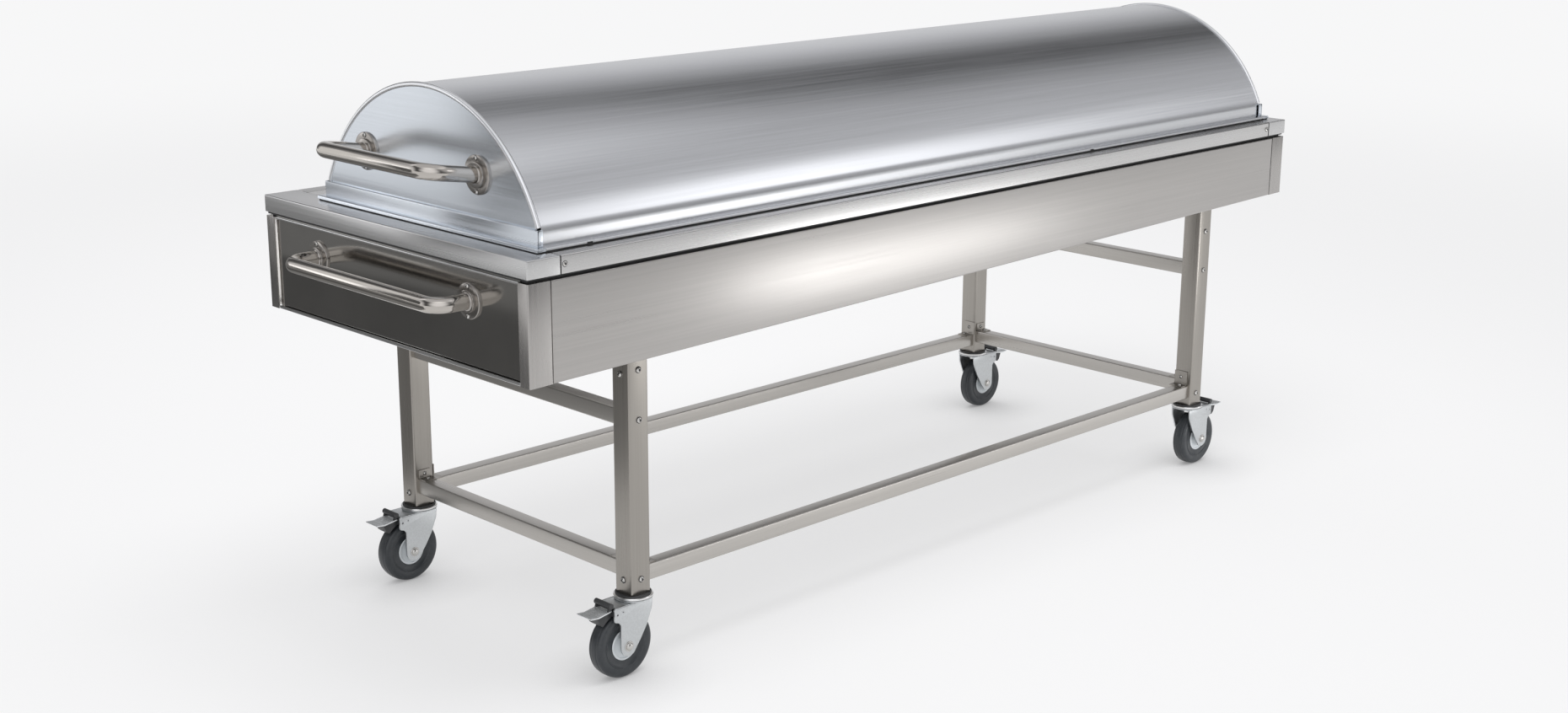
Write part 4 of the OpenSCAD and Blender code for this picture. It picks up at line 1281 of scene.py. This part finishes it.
def across(place, x, z, over=1, out_y=0):
    """Matrix in the caster's frame that turns +Z to a side, at a spot beside the middle."""
    return place @ at(x, over * out_y, z, (0, over, 0))


def rod(radius, low, high):
    """Profile of a plain pin from the low height to the high one."""
    return [(0, low), (radius, low), (radius, high), (0, high)]


def both_sides(wall):
    """Profile of a wheel part whose other side mirrors the wall."""
    return wall + [(radius, -height) for radius, height in wall[::-1]]


class TROLLEY_OT_casters(bpy.types.Operator):
    """Swivel casters: caps, races, forks, wheels, axle bolts and brake pedals"""

    bl_idname = "trolley.casters"
    bl_label = "Casters"

    def execute(self, context):
        caster = context.scene.trolley_casters
        tubes = context.scene.trolley_frame
        caps = bmesh.new()
        races = bmesh.new()
        wheel_parts = (
            self.fork, self.rivets, self.tyre, self.hub, self.axle, self.treadle, self.shoe
        )
        for end, side, out, _over, x, y in legs(tubes):
            place = caster_place(out, x, y)
            tag = f"{end}_{side}"
            self.cap(caps, caster, tubes, place)
            self.race(races, caster, tubes, place)
            for make in wheel_parts:
                make(caster, place, tag)
        nodes = ["caster_caps"]
        piece("caster_black_caps", caps, "black", "trolley", nodes)
        piece("caster_upper_races", races, "race", "trolley", nodes)
        return {"FINISHED"}

    def cap(self, caps, caster, tubes, place):
        """Dished collar round the leg's foot, with a plug in the tube."""
        low = tubes.leg_draw - 1.8 * MM
        high = tubes.leg_draw + 1 * MM
        lip = caster.race_r - 3.2 * MM
        floor = tubes.leg_draw - 0.4 * MM
        profile = [
            (0, low),
            (lip - 0.6 * MM, low),
            (lip, low + 0.6 * MM),
            (lip, high - 0.8 * MM),
            (lip - 0.8 * MM, high),
            (lip - 1.6 * MM, high),
            (lip - 2.6 * MM, floor),
            (0, floor),
        ]
        revolve(caps, profile, place, 64)
        plug = tubes.leg / 2 - 2.3 * MM
        block(caps, (-plug, -plug, floor), (plug, plug, tubes.plug_top), 1 * MM, place)

    def race(self, races, caster, tubes, place):
        """Upper race under the collar, with the king pin and its nut."""
        high = tubes.leg_draw - 1.8 * MM
        low = caster.crown + 3.6 * MM
        ring = [
            (0, low),
            (caster.race_r - 1.4 * MM, low),
            (caster.race_r - 0.3 * MM, low + 0.7 * MM),
            (caster.race_r, low + 1.8 * MM),
            (caster.race_r, high - 1.4 * MM),
            (caster.race_r - 0.7 * MM, high - 0.4 * MM),
            (caster.race_r - 1.8 * MM, high),
            (0, high),
        ]
        revolve(races, ring, place, 64)
        nut_top = caster.crown - 3.3 * MM
        revolve(races, rod(6 * MM, nut_top, low), place, 24)
        nut = hexagon(15.6 * MM)
        prism(races, nut, "XY", nut_top - 8 * MM, nut_top, place, 0.6 * MM)

    def fork_outline(self, caster):
        """Side plate of the fork: ear, straight front, rounded foot and slanting back."""
        top = caster.crown
        axle = (caster.trail, caster.wheel)
        foot_r = 18 * MM
        front = [
            (caster.ear, top),
            (caster.ear, top - 26 * MM),
            (caster.trail + foot_r, top - 30 * MM),
        ]
        foot = arc_points(axle, foot_r, 0, -136, 18)
        back = [
            (caster.trail - 27 * MM, caster.wheel + 7.5 * MM),
            (caster.trail - 41.5 * MM, caster.wheel + 30.5 * MM),
            (-22 * MM, top - 19 * MM),
            (-24 * MM, top),
        ]
        turns = [3 * MM, 3 * MM, 6 * MM] + [0] * len(foot) + [14 * MM, 20 * MM, 8 * MM, 3 * MM]
        return rounded(front + foot + back, turns, 5)

    def fork(self, caster, place, tag):
        """Two side plates under a crown plate, with the lower race pressed on top."""
        bm = bmesh.new()
        top = caster.crown
        outline = self.fork_outline(caster)
        for low in (-caster.fork_half - caster.plate, caster.fork_half):
            prism(bm, outline, "XZ", low, low + caster.plate, place, BROAD_EDGE)
        wide = caster.fork_half + caster.plate
        back, front = -23.5 * MM, caster.ear - 4 * MM
        block(bm, (back, -wide, top - caster.plate), (front, wide, top), 1.2 * MM, place)
        dish = [
            (8 * MM, top - 0.5 * MM),
            (26 * MM, top - 0.5 * MM),
            (caster.race_r - 4 * MM, top + 0.2 * MM),
            (caster.race_r - 1.6 * MM, top + 0.6 * MM),
            (caster.race_r - 0.8 * MM, top + 1.6 * MM),
            (caster.race_r - 0.8 * MM, top + 2.2 * MM),
            (caster.race_r - 1.6 * MM, top + 3 * MM),
            (caster.race_r - 8 * MM, top + 3 * MM),
            (8 * MM, top + 3 * MM),
        ]
        revolve(bm, dish, place, 64, closed=True)
        pin = rod(3 * MM, -caster.fork_half, caster.fork_half)
        revolve(bm, pin, across(place, caster.pivot_x, caster.pivot_z), 20)
        piece(f"caster_fork_{tag}", bm, "zinc", f"swivel_{tag}", [f"fork_{tag}"])

    def rivets(self, caster, place, tag):
        """Hollow ends of the pedal's pin and its stop, on the fork's ears; their hollows are dark
        discs of painted shade.
        """
        rims = bmesh.new()
        holes = bmesh.new()
        spots = [
            (caster.pivot_x, caster.pivot_z, 3.4 * MM),
            (caster.pivot_x - 13 * MM, caster.pivot_z + 2.4 * MM, 2.2 * MM),
        ]
        for over in SIDES.values():
            for x, z, radius in spots:
                spot = across(place, x, z, over, caster.fork_half + caster.plate)
                rim = [
                    (0.45 * radius, 0.2 * MM),
                    (0.55 * radius, 0.9 * MM),
                    (0.85 * radius, 0.8 * MM),
                    (radius, 0),
                    (0.45 * radius, 0),
                ]
                revolve(rims, rim, spot, 24, closed=True)
                hole = [(0, 0), (0.5 * radius, 0), (0.48 * radius, 0.35 * MM), (0, 0.35 * MM)]
                revolve(holes, hole, spot, 20)
        body = f"swivel_{tag}"
        piece(f"caster_rivets_{tag}", rims, "zinc", body, [])
        piece(f"caster_rivet_holes_{tag}", holes, "recess", body, [])

    def tyre(self, caster, place, tag):
        """Crowned tread with fine mould lines, and dished walls with a raised ring."""
        half = caster.width / 2
        ring = caster.hub + 14.5 * MM
        wall = [
            (caster.hub, half - 3.4 * MM),
            (caster.hub + 2 * MM, half - 3.0 * MM),
            (ring - 2.4 * MM, half - 2.6 * MM),
            (ring - 1.2 * MM, half - 1.4 * MM),
            (ring - 0.4 * MM, half - 0.7 * MM),
            (ring + 0.5 * MM, half - 0.8 * MM),
            (ring + 1.0 * MM, half - 1.5 * MM),
            (ring + 2.2 * MM, half - 1.3 * MM),
            (ring + 6 * MM, half - 0.3 * MM),
            (caster.wheel - 8 * MM, half),
            (caster.wheel - 5 * MM, half - 0.7 * MM),
            (caster.wheel - 2.4 * MM, half - 2.6 * MM),
            (caster.wheel - 1.0 * MM, half - 5.0 * MM),
            (caster.wheel - 0.45 * MM, half - 8.2 * MM),
            (caster.wheel - 0.8 * MM, half - 8.8 * MM),
            (caster.wheel - 0.2 * MM, half - 9.4 * MM),
            (caster.wheel, half - 13 * MM),
        ]
        bm = bmesh.new()
        revolve(bm, both_sides(wall), across(place, caster.trail, caster.wheel), 120, closed=True)
        name, body, node = f"caster_tyre_{tag}", f"wheel_{tag}", f"tyre_{tag}"
        piece(name, bm, "tyre", body, [node], sharp=math.radians(50))

    def hub(self, caster, place, tag):
        """Dished nylon hub with a rim and a boss round the axle."""
        half = caster.width / 2
        bore = 6.06 * MM
        boss = caster.fork_half - 0.4 * MM
        face = [
            (bore, boss),
            (9.4 * MM, boss),
            (10.2 * MM, boss - 0.8 * MM),
            (10.8 * MM, half - 2.2 * MM),
            (12.5 * MM, half - 3.4 * MM),
            (caster.hub - 6.5 * MM, half - 4.4 * MM),
            (caster.hub - 4.6 * MM, half - 4.0 * MM),
            (caster.hub - 3.6 * MM, half - 2.2 * MM),
            (caster.hub - 0.8 * MM, half - 2.2 * MM),
            (caster.hub, half - 3.0 * MM),
        ]
        bm = bmesh.new()
        revolve(bm, both_sides(face), across(place, caster.trail, caster.wheel), 72, closed=True)
        body = f"wheel_{tag}"
        piece(f"caster_hub_{tag}", bm, "hub", body, [f"hub_{tag}"])

    def axle(self, caster, place, tag):
        """Axle bolt with a washer and a domed nut on each side."""
        bm = bmesh.new()
        plate = caster.fork_half + caster.plate
        revolve(bm, rod(6 * MM, -plate, plate), across(place, caster.trail, caster.wheel), 32)
        thick = 1.2 * MM
        washer_r, nut_r = 9.6 * MM, 7.4 * MM
        rim = [(washer_r, 0), (washer_r, 0.9 * MM), (9.2 * MM, thick)]
        washer = [(0, 0), *rim, (0, thick)]
        dome = [(0, thick), (nut_r, thick)]
        for turn in range(6):
            angle = math.radians(15 * turn)
            dome.append((nut_r * math.cos(angle), 1.9 * MM + 3.6 * MM * math.sin(angle)))
        dome.append((0, 5.5 * MM))
        for over in SIDES.values():
            side = across(place, caster.trail, caster.wheel, over, plate)
            revolve(bm, washer, side, 40)
            revolve(bm, dome, side, 36)
        body = f"swivel_{tag}"
        node = f"axle_bolt_{tag}"
        piece(f"caster_axle_{tag}", bm, "bolt", body, [node])

    def treadle(self, caster, place, tag):
        """Steel treadle with cross ribs, a crease and a slightly raised tip."""
        root = (caster.ear + 2 * MM, caster.treadle_z)
        crease = (caster.ear + 31 * MM, caster.treadle_z - 4.4 * MM)
        tip = (caster.ear + 49 * MM, caster.treadle_z - 2.6 * MM)
        half = caster.width / 2 + 3.5 * MM
        thick = 2.4 * MM
        plate = rounded(
            sheet_path([root, crease, tip], -thick),
            [0, 2.5 * MM, 0.8 * MM, 0.8 * MM, 2.5 * MM, 0],
        )
        bm = bmesh.new()
        prism(bm, plate, "XZ", -half, half, place, PLAIN_EDGE)
        stretches = ((root, crease, 7), (crease, tip, 5))
        for start, stop, count in stretches:
            for i in range(count):
                share = (i + 0.7) / (count + 0.4)
                x = start[0] + (stop[0] - start[0]) * share
                z = start[1] + (stop[1] - start[1]) * share
                rib = [
                    (x - 1.2 * MM, z - 0.6 * MM),
                    (x + 1.2 * MM, z - 0.6 * MM),
                    (x + 0.5 * MM, z + 0.7 * MM),
                    (x - 0.5 * MM, z + 0.7 * MM),
                ]
                reach = half - 2.5 * MM
                prism(bm, rounded(rib, 0.3 * MM, 3), "XZ", -reach, reach, place, FINE_EDGE)
        body = f"pedal_{tag}"
        node = f"brake_pedal_{tag}"
        piece(f"caster_treadle_{tag}", bm, "treadle", body, [node])

    def shoe(self, caster, place, tag):
        """Black shoe over the tyre, its pivot barrel and the release bar above."""
        bm = bmesh.new()
        half = caster.fork_half - 0.4 * MM
        barrel = [(3.06 * MM, -half), (6 * MM, -half), (6 * MM, half), (3.06 * MM, half)]
        revolve(bm, barrel, across(place, caster.pivot_x, caster.pivot_z), 28, closed=True)
        under_z = caster.treadle_z - 2.6 * MM
        under = arc_points((caster.trail, caster.wheel), caster.wheel + 7 * MM, 69, 43, 10)
        shoe = under + [
            (caster.ear + 25.5 * MM, 2 * caster.wheel - 9.5 * MM),
            (caster.ear + 31 * MM, under_z - 4.4 * MM),
            (caster.ear + 2 * MM, under_z),
            (caster.pivot_x + 1 * MM, caster.pivot_z + 5 * MM),
        ]
        width = caster.width / 2 - 1 * MM
        prism(bm, shoe, "XZ", -width, width, place, 0.8 * MM)
        bar = (caster.ear + 4 * MM, caster.treadle_z + 8.4 * MM)
        bar_r = 5.2 * MM
        reach = caster.fork_half
        roller = [
            (0, -reach),
            (bar_r - 1 * MM, -reach),
            (bar_r, 1 * MM - reach),
            (bar_r, reach - 1 * MM),
            (bar_r - 1 * MM, reach),
            (0, reach),
        ]
        revolve(bm, roller, across(place, *bar), 36)
        arm = [
            (bar[0] - 3 * MM, caster.treadle_z - 3 * MM),
            (bar[0] + 6 * MM, caster.treadle_z - 3 * MM),
            (bar[0] + 3 * MM, bar[1]),
            (bar[0] - 3 * MM, bar[1]),
        ]
        arm_w = 4 * MM
        for y in (3 * MM - reach, reach - 3 * MM - arm_w):
            prism(bm, arm, "XZ", y, y + arm_w, place, FINE_EDGE)
        body = f"pedal_{tag}"
        node = f"brake_pedal_{tag}"
        piece(f"caster_brake_shoe_{tag}", bm, "black", body, [node])


# Carried-over pieces


KEPT = {
    "deck_pan": "deck_long",
    # The deck bearers and leg sockets take the near-black painted shade
    "deck_bearers": "bearer",
    "end_panel_near": "panel",
    "end_panel_far": "panel",
    "leg_sockets": "bearer",
    "tray_runners": "runner",
    "cover_seal": "seal",
    "body_tray": "tray",
    "tray_grips": "bolt",
}


class TROLLEY_OT_kept_pieces(bpy.types.Operator):
    """Finishes for the frame pieces whose shape is already right"""

    bl_idname = "trolley.kept_pieces"
    bl_label = "Kept pieces"

    def execute(self, context):
        for node, finish in KEPT.items():
            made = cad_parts[node]
            made.data.materials.clear()
            made.data.materials.append(FINISHES[finish])
        return {"FINISHED"}


# Stage


# Cloths beside the near end: name, grey level, where each starts and stops as shares of the
# line from near to away, and the heights of its lower and upper edge at both of these.
# A grey over 1.12 comes out plain white.
FLAGS = [
    ("grey_flag", 0.26, 0.0, 1.0, (0.01, 0.01), (0.53, 0.89)),
    ("dark_flag", 0.13, 0.0, 1.0, (0.18, 0.64), (0.4, 0.74)),
    ("side_flag", 0.12, 0.2, 0.42, (0.7, 0.7), (1.0, 1.0)),
    ("white_flag", 2.2, 0.45, 0.6, (0.87, 0.89), (1.2, 1.2)),
]
FLAG_NEAR = (-1.908, 0.103)
FLAG_AWAY = (-0.92, 0.866)

# Glows of the surround: azimuth, elevation, inner and outer half-angle in degrees, strength
GLOWS = [
    (-41, 24, 0, 9.5, 1.9),
    (-40, 32, 0, 42, 0.54),
    (46, 10, 27, 34, 0.34),
    (45, 12, 0, 24, 0.32),
    (110, 43, 0, 14, 1.0),
    (130, 5, 0, 40, 0.95),
    (124, 3, 0, 15, 1.1),
    (-135, 25, 10, 50, 1.1),
]

# Ceiling glow: the heights at which it starts and is full, as sines, and its strength
CEILING = (0.7, 0.81, 0.62)
SURROUND = 0.1

# Soft boxes: name, place, aim, size in metres, power in watts and spread in degrees
LAMPS = [
    ("overhead_box", (-0.4, -0.6, 3.4), (-0.3, -0.3, 0.6), (1.8, 1.7), 52, 180),
    ("side_box", (1.3, -1.95, 0.21), (0.9, -0.39, 0.21), (1.6, 0.35), 2.7, 100),
    ("back_box", (1.5, 2.6, 2.8), (0.5, 0.6, 0), (2.0, 1.6), 26, 180),
]

# The one lamp that stands low: metal mirrors it and the floor isn't lit by it
LOW_LAMP = "side_box"


class TROLLEY_OT_stage(bpy.types.Operator):
    """Pale floor, soft studio light and the camera"""

    bl_idname = "trolley.stage"
    bl_label = "Stage"

    def execute(self, context):
        scene = context.scene
        scene.view_settings.view_transform = "Standard"
        floor = self.floor()
        self.flags()
        self.world(scene)
        self.lamps(floor)
        self.camera(scene)
        return {"FINISHED"}

    def floor(self):
        """Pale floor that keeps the trolley's soft shadow and whitens into the distance."""
        reach = 60.0
        fade_from, fade_to = 2.5, 8.0
        bright = 0.65
        material, maker = new_finish("pale_floor")
        rays = maker.node("ShaderNodeLightPath").outputs
        kinds = ("Is Camera Ray", "Is Glossy Ray", "Is Transmission Ray")
        camera, glossy, through = [Wave(maker, rays[kind]) for kind in kinds]
        where = maker.node("ShaderNodeTexCoord").outputs["Object"]
        away = maker.node("ShaderNodeVectorMath", {"operation": "LENGTH"}, where)
        far = maker.step(Wave(maker, away.outputs["Value"]), fade_from, fade_to)
        share = (camera + glossy + through) * (far * (1 - bright) + bright)
        matte = maker.node("ShaderNodeBsdfDiffuse", None, Color=(0.9, 0.9, 0.9, 1.0))
        glow = maker.node("ShaderNodeEmission", None, Color=self.contact_shade(maker))
        mix = maker.node("ShaderNodeMixShader", None, share, matte.outputs[0], glow.outputs[0])
        maker.node("ShaderNodeOutputMaterial", None, mix.outputs[0])
        corners = [(x, y, 0) for x, y in rectangle(-reach, reach, -reach, reach)]
        return self.card("studio_floor", corners, material)

    def contact_shade(self, maker):
        """Painted contact shadow: white that turns grey where something stands on the floor or
        close over it.
        """
        near = 0.16
        softness = 1.15
        open_share = maker.node("ShaderNodeAmbientOcclusion", {"samples": 6}, Distance=near)
        clear = Wave(maker, open_share.outputs["AO"]) ** softness
        return maker.blend(clear, (0.3, 0.3, 0.305, 1.0), (0.93, 0.93, 0.935, 1.0))

    def flags(self):
        """Cloths beside the near end, seen only in metal, with edges that slant."""
        near, away = Vector(FLAG_NEAR), Vector(FLAG_AWAY)
        aside = (away - near).orthogonal().normalized()
        apart = 0.01
        for step, (name, grey, start, stop, lows, tops) in enumerate(FLAGS):
            material, maker = new_finish(f"{name}_cloth")
            plain = (grey, grey, grey)
            weave = maker.noise(40.0, detail=2.0)
            shade = maker.blend(weave, shaded(plain, 0.9), shaded(plain, 1.1))
            cloth = maker.node("ShaderNodeEmission", None, Color=shade)
            maker.node("ShaderNodeOutputMaterial", None, cloth.outputs[0])
            off = aside * (-apart * step)
            one, two = near.lerp(away, start) + off, near.lerp(away, stop) + off
            corners = [(*one, lows[0]), (*two, lows[1]), (*two, tops[1]), (*one, tops[0])]
            made = self.card(name, corners, material)
            for kind in ("camera", "diffuse", "shadow", "transmission"):
                setattr(made, f"visible_{kind}", False)

    def card(self, name, corners, material):
        """A flat sheet of the studio."""
        bm = bmesh.new()
        bm.faces.new([bm.verts.new(corner) for corner in corners])
        mesh = bpy.data.meshes.new(name)
        bm.to_mesh(mesh)
        bm.free()
        mesh.materials.append(material)
        made = bpy.data.objects.new(name, mesh)
        bpy.context.scene.collection.objects.link(made)
        return made

    def world(self, scene):
        """Dim surround with a bright ceiling and soft glows on several sides, as in a studio."""
        world = bpy.data.worlds.new("studio")
        world.use_nodes = True
        scene.world = world
        maker = Maker(world.node_tree)
        where = maker.node("ShaderNodeTexCoord").outputs["Generated"]
        low, high, strength = CEILING
        above = maker.towards(where, 0, 90)
        level = maker.step(above, low, high) * strength + SURROUND
        for azimuth, elevation, inner, outer, strength in GLOWS:
            aim = maker.towards(where, azimuth, elevation)
            edge = math.cos(math.radians(outer)), math.cos(math.radians(inner))
            level = level + maker.step(aim, *edge) * strength
        shade = maker.node("ShaderNodeCombineColor", None, level, level, level * 1.02)
        sky = maker.node("ShaderNodeBackground", None, shade.outputs[0], 1.0)
        maker.node("ShaderNodeOutputWorld", None, sky.outputs[0])

    def lamps(self, floor):
        """Soft boxes over, beside and behind the trolley."""
        for name, spot, aim, size, power, spread in LAMPS:
            lamp = bpy.data.lights.new(name, "AREA")
            lamp.shape = "RECTANGLE"
            lamp.size, lamp.size_y = size
            lamp.energy = power
            lamp.spread = math.radians(spread)
            made = bpy.data.objects.new(name, lamp)
            made.location = spot
            way = Vector(aim) - Vector(spot)
            made.rotation_euler = way.to_track_quat("-Z", "Y").to_euler()
            made.visible_glossy = name == LOW_LAMP
            bpy.context.scene.collection.objects.link(made)
            if name == LOW_LAMP:
                self.spare(made, floor)

    def spare(self, lamp, floor):
        """Keep a low lamp off the floor, where it would draw a bright patch."""
        lit = bpy.data.collections.new("lit_by_" + lamp.name)
        lit.objects.link(floor)
        lit.collection_objects[0].light_linking.link_state = "EXCLUDE"
        lamp.light_linking.receiver_collection = lit

    def camera(self, scene):
        """Camera at the photo's place: eye-height corner view, slightly rolled."""
        frame_px = 1860
        focal_px = 2425.1
        azimuth, elevation = 45.28, -15.22
        eye = (-3.0309, -2.9215, 1.5055)
        yaw, roll = math.radians(azimuth), math.radians(0.3)
        data = bpy.data.cameras.new("camera")
        data.sensor_width = 36.0
        data.lens = focal_px / frame_px * data.sensor_width
        data.clip_end = 200.0
        made = bpy.data.objects.new("camera", data)
        made.location = eye
        ahead = heading(azimuth, elevation)
        level = Vector((math.sin(yaw), -math.cos(yaw), 0))
        over = level.cross(ahead)
        right = level * math.cos(roll) + over * math.sin(roll)
        above = over * math.cos(roll) - level * math.sin(roll)
        turn = Matrix((right, above, -ahead)).transposed()
        made.rotation_mode = "QUATERNION"
        made.rotation_quaternion = turn.to_quaternion()
        scene.collection.objects.link(made)
        scene.camera = made


# Panel and running order


OPERATORS = [
    TROLLEY_OT_cover_shell,
    TROLLEY_OT_cover_ends,
    TROLLEY_OT_deck,
    TROLLEY_OT_apron,
    TROLLEY_OT_handles,
    TROLLEY_OT_legs,
    TROLLEY_OT_rails,
    TROLLEY_OT_fixings,
    TROLLEY_OT_casters,
    TROLLEY_OT_kept_pieces,
    TROLLEY_OT_stage,
]


class TROLLEY_PT_pieces(bpy.types.Panel):
    """Buttons for every piece of the trolley"""

    bl_label = "Trolley"
    bl_idname = "TROLLEY_PT_pieces"
    bl_space_type = "VIEW_3D"
    bl_region_type = "UI"
    bl_category = "Trolley"

    def draw(self, context):
        for operator in OPERATORS:
            self.layout.operator(operator.bl_idname)


def register():
    """Adds the settings, the operators and the panel."""
    for group in GROUPS.values():
        bpy.utils.register_class(group)
    for name, group in GROUPS.items():
        setattr(bpy.types.Scene, name, bpy.props.PointerProperty(type=group))
    for made in [*OPERATORS, TROLLEY_PT_pieces]:
        bpy.utils.register_class(made)


def unregister():
    """Takes them out again."""
    for made in [TROLLEY_PT_pieces, *OPERATORS[::-1]]:
        bpy.utils.unregister_class(made)
    for name, group in GROUPS.items():
        delattr(bpy.types.Scene, name)
        bpy.utils.unregister_class(group)


def main():
    """Builds the finishes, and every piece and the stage."""
    register()
    make_finishes(bpy.context.scene.trolley_looks)
    for operator in OPERATORS:
        group, name = operator.bl_idname.split(".")
        getattr(getattr(bpy.ops, group), name)()


if __name__ == "__main__":
    main()
